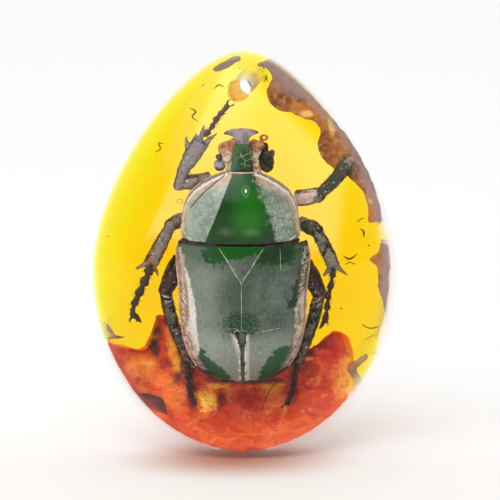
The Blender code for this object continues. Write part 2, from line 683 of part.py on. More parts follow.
def main():
    empty_scene()
    pendant = new_collection("beetle_in_resin_drop")
    cutters = new_collection("cutters")

    # The beetle.
    green, silver = (0.03, 0.13, 0.03), (0.18, 0.22, 0.17)
    finish(make_pronotum(pendant), green, 0.3)
    finish(make_scutellum(pendant), silver, 0.35)
    finish(make_elytron("elytron_left", -1, pendant), silver, 0.35)
    finish(make_elytron("elytron_right", 1, pendant), silver, 0.35)
    finish(make_head(pendant), green, 0.35)
    finish(make_body(pendant), (0.09, 0.035, 0.02), 0.4)
    for name, segments in LEGS.items():
        finish(leg(name, segments, pendant), (0.12, 0.08, 0.06), 0.4)

    # The pockets that cross the pour face.
    torso_pocket = beetle_pocket(cutters)
    cloud_pocket = make_cloud("red_cloud_pocket", CLOUD_POCKET_SHARE, CLOUD_FRONT_Y - POUR_Y,
                              CLOUD_HEADROOM, cutters)
    pockets = [torso_pocket, cloud_pocket, make_bore(cutters)]
    for name, segments in LEGS.items():
        pockets.append(leg(f"{name}_pocket", segments, cutters, POCKET))

    # The cloud, which keeps clear of the beetle, and the flakes with their shallow pockets.
    cloud = make_cloud("red_cloud", CLOUD_SHARE, 0.0, 0.0, pendant)
    combine(cloud, torso_pocket, "DIFFERENCE")
    finish(cloud, (0.75, 0.12, 0.03), 0.6)
    flake_pockets = []
    for name, outline in flake_outlines().items():
        flake = plate(name, outline, FLAKE_FRONT_Y, FLAKE_BACK_Y, pendant)
        finish(flake, (0.2, 0.07, 0.015), 0.5)
        flake_pockets.append(plate(f"{name}_pocket", grown_outline(outline, POCKET),
                                   FLAKE_FRONT_Y - POCKET, POCKET_MOUTH_Y, cutters))
    behind = block("behind_the_pour_face", (-OUTSIDE, POUR_Y - GAP / 2, -OUTSIDE),
                   (OUTSIDE, OUTSIDE, 2 * OUTSIDE), cutters)
    before = block("before_the_pour_face", (-OUTSIDE, -OUTSIDE, -OUTSIDE),
                   (OUTSIDE, POUR_Y + GAP / 2, 2 * OUTSIDE), cutters)

    # The two pours.
    resin_front = drop("resin_front", pendant)
    for cutter in [*pockets, *flake_pockets, behind]:
        combine(resin_front, cutter, "DIFFERENCE")
    finish(resin_front, (0.9, 0.9, 0.88), 0.03)
    resin_back = drop("resin_back", pendant)
    for cutter in [*pockets, before]:
        combine(resin_back, cutter, "DIFFERENCE")
    finish(resin_back, (0.95, 0.6, 0.02), 0.03)

    # The tables count depth from the drop's outline; the origin is the middle of the foot.
    for obj in [*pendant.objects, *cutters.objects]:
        obj.location.y -= FOOT_MIDDLE_Y * MM
    for cutter in cutters.objects:
        hide_cutter(cutter)


main()
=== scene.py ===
import math
import random

import bmesh
import bpy
from mathutils import Matrix, Vector, kdtree


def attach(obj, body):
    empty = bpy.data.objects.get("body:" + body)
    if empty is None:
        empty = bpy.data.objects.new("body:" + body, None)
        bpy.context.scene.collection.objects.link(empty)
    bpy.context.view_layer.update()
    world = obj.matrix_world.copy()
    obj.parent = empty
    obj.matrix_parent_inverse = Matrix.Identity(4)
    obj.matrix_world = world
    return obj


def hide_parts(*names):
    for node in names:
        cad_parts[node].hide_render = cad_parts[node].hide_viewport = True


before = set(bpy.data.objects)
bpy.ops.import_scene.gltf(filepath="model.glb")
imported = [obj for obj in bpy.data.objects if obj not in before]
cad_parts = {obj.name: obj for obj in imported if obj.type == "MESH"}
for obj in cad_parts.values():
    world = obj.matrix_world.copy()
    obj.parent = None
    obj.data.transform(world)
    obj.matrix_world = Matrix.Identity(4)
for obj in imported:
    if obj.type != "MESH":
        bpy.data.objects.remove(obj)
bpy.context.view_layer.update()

MM = 0.001
STAND_Y = 3.0516

DROP_HEIGHT = 65.0
DROP_HALF_WIDTH = 24.66
DROP_FRONT_DEPTH = 14.0
DROP_BACK_DEPTH = 7.0
WIDEST_Z = 29.14
FOOT_FORWARD = 2.2
FOOT_HALF_WIDTH = 6.0
RESIN_IOR = 1.5
BORE_RADIUS = 1.65
BORE_CLEARANCE = 0.12
BORE_PLACE = (0.58, 0.0, 59.0)
BORE_SLANT = math.radians(11.8)
AMBER_FRONT_Y = 0.2
AMBER_LOW_Z = 7.5
AMBER_RIGHT_X = 21.5
AMBER_OVERLAP = 0.7
AMBER_SHARE = 0.98
CLOUD_FRONT_Y = 2.1
CLOUD_RIM_Y = -0.6
CLOUD_SHARE = 0.96
CLOUD_PATCH_Y = 0.6
CLOUD_PATCH_DEPTH = 4.2
BEETLE_X = -0.3
ELYTRA_RIGHT = 1.05
PRONOTUM_RIGHT = 0.965
SHELL_THICKNESS = 0.5
DOUBLES = 0.002


# Handling.

def alone(obj):
    """One object selected and active, and nothing else."""
    bpy.ops.object.select_all(action="DESELECT")
    obj.select_set(True)
    bpy.context.view_layer.objects.active = obj


def into(obj, everything=False):
    """Edit mode on one object, with nothing or everything picked."""
    alone(obj)
    bpy.ops.object.mode_set(mode="EDIT")
    bpy.ops.mesh.select_all(action="SELECT" if everything else "DESELECT")


def out():
    bpy.ops.object.mode_set(mode="OBJECT")


def named(obj, name):
    """An object and its mesh under one name."""
    obj.name = name
    obj.data.name = name
    return obj


def fresh(name):
    """The object that an operator has just added, under its own name."""
    return named(bpy.context.active_object, name)


def pick(obj, kind, wanted):
    """In edit mode, select what passes a test of its place in millimetres and its normal."""
    bpy.ops.mesh.select_mode(type=kind)
    bpy.ops.mesh.select_all(action="DESELECT")
    shape = bmesh.from_edit_mesh(obj.data)
    if kind == "VERT":
        found = [v for v in shape.verts if wanted(v.co / MM, v.normal)]
    elif kind == "EDGE":
        found = [e for e in shape.edges
                 if wanted((e.verts[0].co + e.verts[1].co) / 2 / MM, e.verts[0].normal)]
    else:
        found = [f for f in shape.faces if wanted(f.calc_center_median() / MM, f.normal)]
    for item in found:
        item.select = True
    shape.select_flush_mode()
    bmesh.update_edit_mesh(obj.data)


def pick_rim():
    """In edit mode, select the open border."""
    bpy.ops.mesh.select_mode(type="EDGE")
    bpy.ops.mesh.select_all(action="DESELECT")
    bpy.ops.mesh.select_non_manifold(extend=False, use_wire=False, use_boundary=True,
                                     use_multi_face=False, use_non_contiguous=False,
                                     use_verts=False)


def shift(x=0.0, y=0.0, z=0.0):
    bpy.ops.transform.translate(value=(x * MM, y * MM, z * MM))


def stretch(factors, centre=(0.0, 0.0, 0.0)):
    bpy.ops.transform.resize(value=factors, center_override=[c * MM for c in centre])


def apply(obj, kind, **settings):
    """Add a modifier and apply it."""
    alone(obj)
    modifier = obj.modifiers.new(kind.title(), kind)
    for key, value in settings.items():
        setattr(modifier, key, value)
    bpy.ops.object.modifier_apply(modifier=modifier.name)


def reskin(obj, voxel):
    """One closed skin over all that a piece is made of."""
    apply(obj, "REMESH", mode="VOXEL", voxel_size=voxel * MM)


def relax(obj, factor, times):
    apply(obj, "SMOOTH", factor=factor, iterations=times)


def carve(obj, cutter, operation="DIFFERENCE"):
    """Take a cutter out of an object, or keep what both share, and drop the cutter."""
    apply(obj, "BOOLEAN", operation=operation, solver="EXACT", object=cutter)
    remove(cutter)


def settle(obj):
    """Put an object's place, turn and size into its mesh."""
    alone(obj)
    bpy.ops.object.transform_apply(location=True, rotation=True, scale=True)


def tidy(obj):
    """Merge doubles and turn the faces outwards."""
    into(obj, everything=True)
    bpy.ops.mesh.remove_doubles(threshold=DOUBLES * MM)
    bpy.ops.mesh.normals_make_consistent(inside=False)
    out()


def smooth(obj, degrees=40.0):
    alone(obj)
    bpy.ops.object.shade_smooth_by_angle(angle=math.radians(degrees))


def join(name, pieces):
    bpy.ops.object.select_all(action="DESELECT")
    for piece in pieces:
        piece.select_set(True)
    bpy.context.view_layer.objects.active = pieces[0]
    if len(pieces) > 1:
        bpy.ops.object.join()
    return fresh(name)


def wear(obj, *materials):
    obj.data.materials.clear()
    for material in materials:
        if material is not None:
            obj.data.materials.append(material)


def to_place(obj, slot, *nodes):
    """Move a finished piece over the foot, settle it there and tie it to the drop."""
    obj.location.y += STAND_Y * MM
    settle(obj)
    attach(obj, "root")
    if nodes:
        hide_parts(*nodes)


def copy_of(obj, matrix):
    """A copy with its own mesh, carried by a matrix."""
    twin = obj.copy()
    twin.data = obj.data.copy()
    bpy.context.scene.collection.objects.link(twin)
    twin.matrix_world = matrix
    return twin


def remove(obj):
    bpy.data.objects.remove(obj, do_unlink=True)


def roughen(obj, grain, height, where=None):
    """Lumps of a grain and height in millimetres, on all of a piece or on part of it."""
    texture = bpy.data.textures.new(f"{obj.name}_lumps", "CLOUDS")
    texture.noise_scale = grain * MM
    texture.noise_depth = 3
    part = ""
    if where is not None:
        chosen = [v.index for v in obj.data.vertices if where(v.co / MM, v.normal)]
        part = obj.vertex_groups.new(name="lumpy").name
        obj.vertex_groups[part].add(chosen, 1.0, "REPLACE")
    apply(obj, "DISPLACE", texture=texture, strength=height * MM, mid_level=0.5,
          vertex_group=part)
    obj.vertex_groups.clear()


def mark(obj, name, value):
    """Give every vertex a number from its place, for a finish to read."""
    layer = obj.data.attributes.new(name, "FLOAT", "POINT")
    layer.data.foreach_set("value", [value(v.co / MM) for v in obj.data.vertices])


# Materials. Colours are in the eight-bit steps of a screen. In Object coordinates a material
# sees the piece in millimetres, with depths from the plane of the drop's outline.

WHITE = (1.0, 1.0, 1.0, 1.0)
UP, DOWN, LEFT, RIGHT = (0.0, 0.0, 1.0), (0.0, 0.0, -1.0), (-1.0, 0.0, 0.0), (1.0, 0.0, 0.0)
FLOAT = "NodeSocketFloat"
VECTOR = "NodeSocketVector"


def rgb(colour):
    """What a node takes for a colour in eight-bit steps; anything else stays as it is."""
    if not isinstance(colour, tuple) or len(colour) != 3:
        return colour
    shares = [step / 255 for step in colour]
    return (*(s / 12.92 if s <= 0.04045 else ((s + 0.055) / 1.055) ** 2.4 for s in shares), 1.0)


def add(tree, kind, inputs=None, **settings):
    """A node with its settings, its inputs linked to sockets or set to values."""
    node = tree.nodes.new(kind)
    for key, value in settings.items():
        setattr(node, key, value)
    for name, source in (inputs or {}).items():
        if isinstance(source, bpy.types.NodeSocket):
            tree.links.new(source, node.inputs[name])
        else:
            node.inputs[name].default_value = source
    return node


def math_node(tree, operation, *values):
    return add(tree, "ShaderNodeMath", dict(enumerate(values)),
               operation=operation).outputs["Value"]


def vector_node(tree, operation, one, two=None):
    inputs = {0: one} if two is None else {0: one, 1: two}
    return add(tree, "ShaderNodeVectorMath", inputs, operation=operation).outputs


def ramp(tree, value, low, high, start=0.0, end=1.0):
    node = add(tree, "ShaderNodeMapRange", {"Value": value, "From Min": low, "From Max": high,
                                            "To Min": start, "To Max": end},
               interpolation_type="SMOOTHSTEP")
    return node.outputs["Result"]


def noise(tree, vector, scale, detail=4.0, roughness=0.6, swirl=0.0):
    node = add(tree, "ShaderNodeTexNoise", {"Vector": vector, "Scale": scale, "Detail": detail,
                                            "Roughness": roughness, "Distortion": swirl})
    return node.outputs["Fac"]


def group(name, sockets, result):
    """A node group from its input sockets, with one output."""
    tree = bpy.data.node_groups.new(name, "ShaderNodeTree")
    for socket, kind, value in sockets:
        item = tree.interface.new_socket(name=socket, in_out="INPUT", socket_type=kind)
        if value is not None:
            item.default_value = value
    tree.interface.new_socket(name=result, in_out="OUTPUT", socket_type=FLOAT)
    inward = tree.nodes.new("NodeGroupInput")
    outward = tree.nodes.new("NodeGroupOutput")
    return tree, inward.outputs, outward.inputs[result]


RAGGED_BORDER = [("Ragged", FLOAT, 0.3), ("Grain", FLOAT, 1.5), ("Softness", FLOAT, 0.1)]


def made_ragged(tree, given, value):
    """A distance moved in and out by noise, as a border's raggedness and grain say."""
    rough = noise(tree, given["Vector"], given["Grain"], 8.0, 0.68)
    rough = math_node(tree, "MULTIPLY", math_node(tree, "SUBTRACT", rough, 0.5), given["Ragged"])
    return math_node(tree, "MULTIPLY_ADD", rough, 4.0, value)


def ragged_spot():
    """Mask of an oval patch with a ragged border."""
    tree, given, mask = group("ragged spot", [
        ("Vector", VECTOR, None), ("Centre", VECTOR, None), ("Size", VECTOR, None),
        *RAGGED_BORDER], "Mask")
    away = vector_node(tree, "SUBTRACT", given["Vector"], given["Centre"])[0]
    share = vector_node(tree, "DIVIDE", away, given["Size"])[0]
    far = made_ragged(tree, given, vector_node(tree, "LENGTH", share)["Value"])
    low = math_node(tree, "SUBTRACT", 1.0, given["Softness"])
    high = math_node(tree, "ADD", 1.0, given["Softness"])
    tree.links.new(ramp(tree, far, low, high, 1.0, 0.0), mask)
    return tree


def ragged_side():
    """Mask of all that lies on one side of a slanted line, with a ragged border."""
    tree, given, mask = group("ragged side", [
        ("Vector", VECTOR, None), ("Direction", VECTOR, None), ("Offset", FLOAT, 0.0),
        *RAGGED_BORDER], "Mask")
    far = vector_node(tree, "DOT_PRODUCT", given["Vector"], given["Direction"])["Value"]
    far = math_node(tree, "SUBTRACT", made_ragged(tree, given, far), given["Offset"])
    low = math_node(tree, "MULTIPLY", given["Softness"], -1.0)
    tree.links.new(ramp(tree, far, low, given["Softness"]), mask)
    return tree


def streaked_grain():
    """Relief of fine grain drawn out along one way."""
    tree, given, height = group("streaked grain", [
        ("Vector", VECTOR, None), ("Stretch", VECTOR, (1.0, 1.0, 1.0)), ("Scale", FLOAT, 2.0)],
        "Height")
    drawn = vector_node(tree, "MULTIPLY", given["Vector"], given["Stretch"])[0]
    tree.links.new(noise(tree, drawn, given["Scale"], 6.0, 0.65), height)
    return tree


SPOT = ragged_spot()
SIDE = ragged_side()
GRAIN = streaked_grain()


class Finish:
    """One material: its tree, its Principled shader, its place, and the colour laid so far."""

    def __init__(self, name, roughness=0.45, **sockets):
        self.material = bpy.data.materials.new(name)
        self.material.use_nodes = True
        self.tree = self.material.node_tree
        self.shader = self.tree.nodes["Principled BSDF"]
        values = {"Roughness": roughness, "Specular IOR Level": 0.2}
        values.update({socket.replace("_", " "): value for socket, value in sockets.items()})
        for socket, value in values.items():
            self.shader.inputs[socket].default_value = value
        self.place = add(self.tree, "ShaderNodeMapping", {
            "Vector": add(self.tree, "ShaderNodeTexCoord").outputs["Object"],
            "Location": (0.0, -STAND_Y, 0.0),
            "Scale": (1 / MM, 1 / MM, 1 / MM)}).outputs["Vector"]
        self.laid = None

    def shared(self, tree, values):
        """What a shared node group gives at this finish's place."""
        return add(self.tree, "ShaderNodeGroup", {"Vector": self.place, **values},
                   node_tree=tree).outputs[0]

    def spot(self, centre, size, ragged=0.3, grain=1.5, softness=0.1):
        return self.shared(SPOT, {"Centre": centre, "Size": size, "Ragged": ragged,
                                  "Grain": grain, "Softness": softness})

    def side(self, direction, offset, ragged=0.3, grain=1.5, softness=0.1):
        return self.shared(SIDE, {"Direction": direction, "Offset": offset, "Ragged": ragged,
                                  "Grain": grain, "Softness": softness})

    def grain(self, scale, stretch_by=(1.0, 1.0, 1.0)):
        return self.shared(GRAIN, {"Stretch": stretch_by, "Scale": scale})

    def noise(self, scale, detail=4.0, swirl=0.0):
        return noise(self.tree, self.place, scale, detail, 0.6, swirl)

    def mottle(self, low, high, scale, detail=4.0, swirl=0.0):
        """Noise sharpened into patches with soft borders."""
        return self.ramp(self.noise(scale, detail, swirl), low, high)

    def crackle(self, scale):
        """Distance to the nearest line of a net of cracks."""
        return add(self.tree, "ShaderNodeTexVoronoi", {"Vector": self.place, "Scale": scale},
                   feature="DISTANCE_TO_EDGE").outputs["Distance"]

    def facing(self):
        """How far the surface turns to the back: -1 where it looks straight to the front."""
        normal = add(self.tree, "ShaderNodeNewGeometry").outputs["Normal"]
        return add(self.tree, "ShaderNodeSeparateXYZ", {"Vector": normal}).outputs["Y"]

    def given(self, name):
        """The number that mark() left on the mesh."""
        return add(self.tree, "ShaderNodeAttribute", attribute_name=name).outputs["Fac"]

    def marked(self, name, ragged, scale):
        """The number that mark() left on the mesh, made ragged by noise."""
        rough = math_node(self.tree, "SUBTRACT", self.noise(scale, 7.0), 0.5)
        return math_node(self.tree, "MULTIPLY_ADD", rough, ragged, self.given(name))

    def ramp(self, value, low, high, start=0.0, end=1.0):
        return ramp(self.tree, value, low, high, start, end)

    def mix(self, share, one, two):
        """Blend of two colours, each a colour or a socket."""
        return add(self.tree, "ShaderNodeMix", {0: share, 6: rgb(one), 7: rgb(two)},
                   data_type="RGBA").outputs[2]

    def times(self, one, two):
        return math_node(self.tree, "MULTIPLY", one, two)

    def both(self, *masks):
        result = masks[0]
        for other in masks[1:]:
            result = math_node(self.tree, "MINIMUM", result, other)
        return result

    def either(self, *masks):
        result = masks[0]
        for other in masks[1:]:
            result = math_node(self.tree, "MAXIMUM", result, other)
        return result

    def feed(self, socket, source):
        self.tree.links.new(source, self.shader.inputs[socket])

    def absorb(self, colour, density):
        """Fill the piece with a tint that deepens with the length of the way through it."""
        volume = add(self.tree, "ShaderNodeVolumeAbsorption",
                     {"Color": colour, "Density": density}).outputs["Volume"]
        self.tree.links.new(volume, self.tree.nodes["Material Output"].inputs["Volume"])

    def start(self, share, one, two):
        self.laid = self.mix(share, one, two)

    def lay(self, mask, shade, strength=1.0):
        """Lay a colour over those before it where a mask says, at a strength."""
        if strength != 1.0:
            mask = self.times(mask, strength)
        self.laid = self.mix(mask, self.laid, shade)

    def done(self, height=None, distance=0.0, strength=1.0):
        """Feed the colour and, where given, a relief in millimetres, and give the material."""
        if self.laid is not None:
            self.feed("Base Color", self.laid)
        if height is not None:
            relief = add(self.tree, "ShaderNodeBump", {
                "Height": height, "Distance": distance * MM, "Strength": strength})
            self.feed("Normal", relief.outputs["Normal"])
        return self.material


def clear_resin():
    """Polished resin with a soft bright rim, where light leaves it straight instead of trapped."""
    finish = Finish("clear_resin", 0.0, Transmission_Weight=1.0, IOR=RESIN_IOR,
                    Base_Color=WHITE, Specular_IOR_Level=0.5,
                    Specular_Tint=(0.4, 0.4, 0.4, 1.0))
    edge_on = add(finish.tree, "ShaderNodeLayerWeight", {"Blend": 0.5}).outputs["Facing"]
    inside = add(finish.tree, "ShaderNodeNewGeometry").outputs["Backfacing"]
    entering = finish.ramp(edge_on, 0.3, 0.62, 1.0, 0.1)
    leaving = finish.ramp(edge_on, 0.1, 0.25, 1.0, 0.0)
    finish.feed("Alpha", add(finish.tree, "ShaderNodeMix", {0: inside, 2: entering, 3: leaving},
                             data_type="FLOAT").outputs[0])
    return finish.done()


def bored_resin():
    """The drilled wall of the bore, left rough by the drill."""
    finish = Finish("bored_resin", 0.5, Transmission_Weight=1.0, IOR=RESIN_IOR,
                    Specular_IOR_Level=0.5)
    rings = finish.ramp(finish.grain(1.4, (1.0, 1.0, 3.0)), 0.3, 0.7)
    finish.start(rings, (236, 178, 96), (200, 128, 62))
    return finish.done(finish.grain(2.0, (1.0, 1.0, 3.0)), 0.05)


def amber_resin():
    """The yellow of the rear pour: it colours light by depth and doesn't bend it again.

    Its flat front, where the clear pour lies on it, glows with a painted pale reflection in one
    slanted patch and a painted yellow glow further left.
    """
    finish = Finish("amber_resin", 0.0, Transmission_Weight=1.0, IOR=1.0, Base_Color=WHITE,
                    Emission_Strength=0.2)
    flat_front = finish.ramp(finish.facing(), -0.9, -0.98)
    # Painted reflection: a pale patch of the flat front that glows.
    patch = finish.both(finish.side((0.92, 0.0, -0.39), -26.15, 0.02, 0.4, 0.5),
                        finish.side((-0.71, 0.0, -0.7), -41.8, 0.05, 0.3, 1.0),
                        finish.side((-0.98, 0.0, 0.1), -9.6, 0.05, 0.3, 1.2),
                        finish.side((0.1, 0.0, 1.0), 33.6, 0.1, 0.3, 1.6), flat_front)
    patch = finish.times(patch, finish.ramp(finish.noise(0.12, 3.0), 0.3, 0.7, 0.65, 1.0))
    # Painted glow: the flat front's left part glows yellow through the tint.
    painted_lemon_glow = finish.both(finish.side((-0.95, 0.0, 0.3), 25.0, 0.2, 0.2, 3.5), flat_front)
    painted_lemon_glow = finish.mix(painted_lemon_glow, (0.0, 0.0, 0.0, 1.0), (0.0, 0.42, 0.0, 1.0))
    finish.feed("Emission Color", finish.mix(patch, painted_lemon_glow, (0.65, 0.61, 0.56, 1.0)))
    finish.absorb((0.9966, 0.934, 0.0, 1.0), 1400.0)
    return finish.done()


def cream_resin():
    finish = Finish("cream_resin", 0.0, Transmission_Weight=1.0, IOR=1.0, Base_Color=WHITE)
    finish.absorb((1.0, 0.86, 0.3, 1.0), 110.0)
    return finish.done()


SILVER = (104, 117, 104)
DEEP_SILVER = (66, 82, 70)
PALE_SILVER = (166, 176, 164)
WHITE_FILM = (232, 230, 220)
VIVID_GREEN = (12, 88, 6)
DEEP_GREEN = (12, 58, 12)
DULL_GREEN = (36, 78, 42)
BRIGHT_GREEN = (20, 116, 10)
VIOLET_DARK = (50, 40, 52)
# Centre of the painted highlight on the pronotum.
PAINTED_HIGHLIGHT_SPOT = (0.37, -6.84, 43.0)


def shell_base(finish):
    """Silvery air film over grey-green shell, in drifts, faint strokes and fine grains."""
    finish.start(finish.mottle(0.36, 0.66, 0.22, 6.0, 0.4), SILVER, DEEP_SILVER)
    strokes = finish.ramp(finish.grain(1.2, (4.0, 1.0, 1.0)), 0.44, 0.64)
    finish.lay(strokes, PALE_SILVER, 0.2)
    finish.lay(finish.mottle(0.42, 0.6, 3.4, 6.0), DEEP_SILVER, 0.4)


def elytron_finish():
    finish = Finish("elytron_film", 0.34, Metallic=0.2)
    shell_base(finish)
    lower = finish.side(DOWN, -20.4, 0.25, 0.8, 2.2)
    strokes = finish.ramp(finish.grain(1.5, (4.0, 1.0, 1.1)), 0.36, 0.62, 0.45, 1.0)
    finish.lay(finish.both(lower, strokes), PALE_SILVER, 0.7)
    left_side = finish.side(LEFT, 4.2, 0.3, 0.6, 2.0)
    finish.lay(finish.both(left_side, strokes), PALE_SILVER, 0.45)
    centre_strip = finish.both(finish.side(RIGHT, -2.0, 0.1, 0.8, 1.2),
                               finish.side(LEFT, -1.8, 0.1, 0.8, 1.4),
                               finish.side(UP, 20.5, 0.3, 1.0, 1.0))
    finish.lay(centre_strip, DULL_GREEN, 0.5)
    top = finish.side(UP, 31.6, 0.5, 0.5, 2.0)
    finish.lay(top, DULL_GREEN, 0.5)
    low_left = finish.both(finish.side((-0.707, 0.0, -0.707), -8.55, 1.1, 0.9, 0.06),
                           finish.side(LEFT, 1.8, 0.6))
    low_right = finish.both(finish.side((0.8, 0.0, -0.6), -7.0, 1.1, 0.9, 0.06),
                            finish.side(RIGHT, 2.2, 0.5), finish.side(DOWN, -19.0, 0.6, 1.2))
    patches = [(finish.spot((-4.0, -7.3, 33.2), (2.0, 3.0, 1.4), 1.2, 1.5, 0.05), DULL_GREEN),
               (finish.spot((-3.1, -7.3, 33.8), (1.2, 3.0, 1.1), 1.0, 1.8, 0.2), VIVID_GREEN),
               (finish.spot((4.9, -6.6, 33.2), (3.6, 4.0, 1.8), 0.9, 1.2, 0.08), DULL_GREEN),
               (finish.spot((4.4, -6.6, 33.4), (2.8, 4.0, 1.5), 1.0, 1.5, 0.4), (30, 58, 26)),
               (finish.spot((-0.3, -7.8, 22.8), (1.7, 3.0, 1.5), 1.5, 2.0, 0.05), DULL_GREEN),
               (finish.spot((-0.3, -7.8, 22.5), (1.8, 3.0, 1.2), 2.2, 2.8, 0.08), (18, 48, 22)),
               (low_left, (30, 82, 48)),
               (finish.side((-0.85, 0.0, -0.53), -3.7, 0.25, 1.3, 0.15), VIOLET_DARK),
               (low_right, (26, 84, 46)),
               (finish.both(low_right, finish.side((0.946, 0.0, -0.324), 0.5, 0.25, 1.3, 0.15)),
                VIOLET_DARK)]
    for mask, shade in patches:
        finish.lay(mask, shade)
    leafy = finish.spot((-0.3, -7.8, 22.5), (1.9, 3.0, 1.5), 1.8, 2.4, 0.1)
    finish.lay(leafy, (70, 108, 72), 0.7)
    veins = finish.ramp(finish.crackle(1.5), 0.16, 0.06)
    finish.lay(finish.both(leafy, veins), (20, 50, 24))
    # The pale band: tan outside it, frosted white on it, dark green jags and specks inside.
    across = finish.marked("across", 0.9, 1.6)
    tan = finish.mix(finish.mottle(0.44, 0.6, 2.6, 7.0), (202, 152, 124), (128, 92, 82))
    tan_part = finish.both(finish.ramp(across, 1.1, 0.9), finish.side(UP, 16.6, 0.5, 0.8, 0.6))
    finish.lay(tan_part, tan)
    frost = finish.both(finish.ramp(across, 0.85, 1.1), finish.ramp(across, 2.2, 1.9),
                        finish.side(DOWN, -33.6, 0.2, 1.0, 0.5),
                        finish.side(UP, 17.4, 0.3, 1.0, 0.6),
                        finish.ramp(finish.noise(2.2, 6.0), 0.34, 0.5, 0.5, 1.0))
    finish.lay(frost, WHITE_FILM)
    right_half = finish.side(RIGHT, 3.0)
    jagged = finish.both(finish.side((0.952, 0.0, -0.306), -1.5, 0.9, 1.8, 0.06),
                         finish.side((-0.952, 0.0, 0.306), 0.1, 0.7, 2.2, 0.06),
                         finish.side(UP, 24.8, 0.8, 1.4), right_half)
    specks = finish.both(finish.mottle(0.56, 0.6, 1.9, 6.0),
                         finish.side(DOWN, -25.0, 0.3, 1.0, 0.5), finish.side(UP, 18.4, 0.3),
                         finish.ramp(across, 2.5, 2.1), finish.ramp(across, 0.9, 1.1),
                         right_half)
    finish.lay(finish.either(jagged, specks), (18, 52, 26))
    furrow_edge = finish.both(finish.side((0.96, 0.0, 0.28), 4.1, 0.12, 2.0, 0.25),
                              finish.side(LEFT, -0.85, 0.12, 2.0, 0.2),
                              finish.side(DOWN, -20.9, 0.2, 1.5, 0.3))
    finish.lay(furrow_edge, WHITE_FILM, 0.55)
    return finish.done(finish.grain(2.4, (2.5, 1.0, 0.5)), 0.05, 0.6)


def scutellum_finish():
    finish = Finish("scutellum_film", 0.34, Metallic=0.2)
    shell_base(finish)
    green = finish.side((-0.22, 0.0, 1.0), 32.9, 0.9, 1.3, 0.12)
    finish.lay(green, VIVID_GREEN)
    return finish.done(finish.grain(2.2, (2.0, 1.0, 0.6)), 0.04, 0.5)


def pronotum_finish():
    finish = Finish("pronotum_film", 0.26, Metallic=0.1, Coat_Weight=0.2, Coat_Roughness=0.1)
    drifts = finish.mottle(0.36, 0.64, 0.28, 7.0, 0.6)
    finish.start(drifts, (168, 180, 166), (130, 146, 130))
    cloudy = finish.mottle(0.48, 0.66, 1.4, 8.0, 0.4)
    finish.lay(cloudy, (206, 213, 200), 0.45)
    foot = finish.side((-0.4, 0.0, -1.0), -33.6, 0.4, 0.5, 1.2)
    finish.lay(foot, (96, 122, 98), 0.35)
    grey = finish.both(finish.side(RIGHT, 4.0, 0.4, 0.6, 1.0), finish.mottle(0.46, 0.58, 2.4, 7.0))
    finish.lay(grey, (78, 98, 72), 0.55)
    outer = finish.side((-0.94, 0.0, 0.34), 22.0, 0.5, 0.4, 0.8)
    finish.lay(outer, (190, 182, 172), 0.6)
    left = finish.side((0.932, 0.0, -0.362), -18.0, 0.06, 1.2, 0.05)
    right = finish.side((-0.955, 0.0, -0.297), -15.2, 1.3, 1.3, 0.7)
    green = finish.both(left, right)
    finish.lay(green, VIVID_GREEN)
    deep = finish.either(finish.spot((-2.9, -7.2, 40.5), (2.6, 4.0, 5.4), 0.25, 0.5, 0.6),
                         finish.spot((3.4, -7.0, 37.8), (1.8, 4.0, 2.6), 0.35, 0.7, 0.5))
    finish.lay(finish.both(green, deep), DEEP_GREEN, 0.85)
    bright = finish.both(green, finish.spot((0.9, -7.6, 39.2), (2.1, 3.0, 3.4), 0.2, 0.5, 0.8))
    finish.lay(bright, BRIGHT_GREEN, 0.85)
    base = finish.both(green, finish.side(DOWN, -36.4, 0.4, 0.9, 1.0))
    finish.lay(base, DEEP_GREEN, 0.7)
    crumbs = finish.both(finish.spot((2.4, -6.0, 44.3), (1.5, 4.0, 0.8), 0.3, 1.0, 0.3),
                         finish.mottle(0.5, 0.56, 1.6, 5.0))
    finish.lay(crumbs, (34, 40, 28))
    for centre in ((-2.6, -7.7, 36.8), (1.3, -7.8, 36.7)):
        pale = finish.spot(centre, (0.9, 2.0, 0.5), 0.6, 1.2, 0.9)
        finish.lay(pale, PALE_SILVER, 0.16)
    # Painted highlight: a white dot with a pale green halo, a lamp's reflection on the shell.
    highlight_core = finish.spot(PAINTED_HIGHLIGHT_SPOT, (0.4, 3.0, 0.6), 0.1)
    painted_highlight_halo = finish.both(finish.spot(PAINTED_HIGHLIGHT_SPOT, (0.62, 3.0, 0.86), 0.1, 1.0, 0.25),
                       finish.ramp(highlight_core, 0.9, 0.1))
    finish.lay(painted_highlight_halo, (120, 170, 104), 0.35)
    finish.lay(finish.spot(PAINTED_HIGHLIGHT_SPOT, (0.17, 3.0, 0.28), 0.0, 1.0, 0.3), (246, 250, 240))
    dusk = finish.both(green, finish.side(UP, 44.2, 0.2, 1.0, 0.6))
    finish.lay(dusk, (44, 74, 44), 0.5)
    band = finish.marked("band", 0.4, 1.4)
    blush = finish.mix(finish.mottle(0.42, 0.6, 1.0, 6.0), (214, 196, 178), (178, 158, 144))
    near_head = finish.side(UP, 44.0, 0.2, 0.8, 0.8)
    blush = finish.mix(finish.times(near_head, 0.8), blush, (200, 146, 104))
    bare = finish.ramp(finish.both(green, finish.side(UP, 43.0)), 0.9, 0.1)
    finish.lay(finish.both(finish.ramp(band, 1.5, 0.6, 0.0, 0.8), bare), blush)
    line = finish.both(finish.ramp(band, 0.12, 0.2), finish.ramp(band, 0.46, 0.34))
    finish.lay(line, (240, 236, 226), 0.9)
    finish.lay(finish.ramp(band, 0.2, 0.1), (150, 124, 106))
    return finish.done(finish.grain(2.6), 0.03, 0.5)


def film_edge_finish():
    """The bright line where the air film ends at a seam."""
    finish = Finish("film_edge", 0.4)
    finish.start(finish.mottle(0.4, 0.62, 1.3), (228, 228, 216), (136, 146, 130))
    return finish.done(finish.grain(4.0), 0.03)


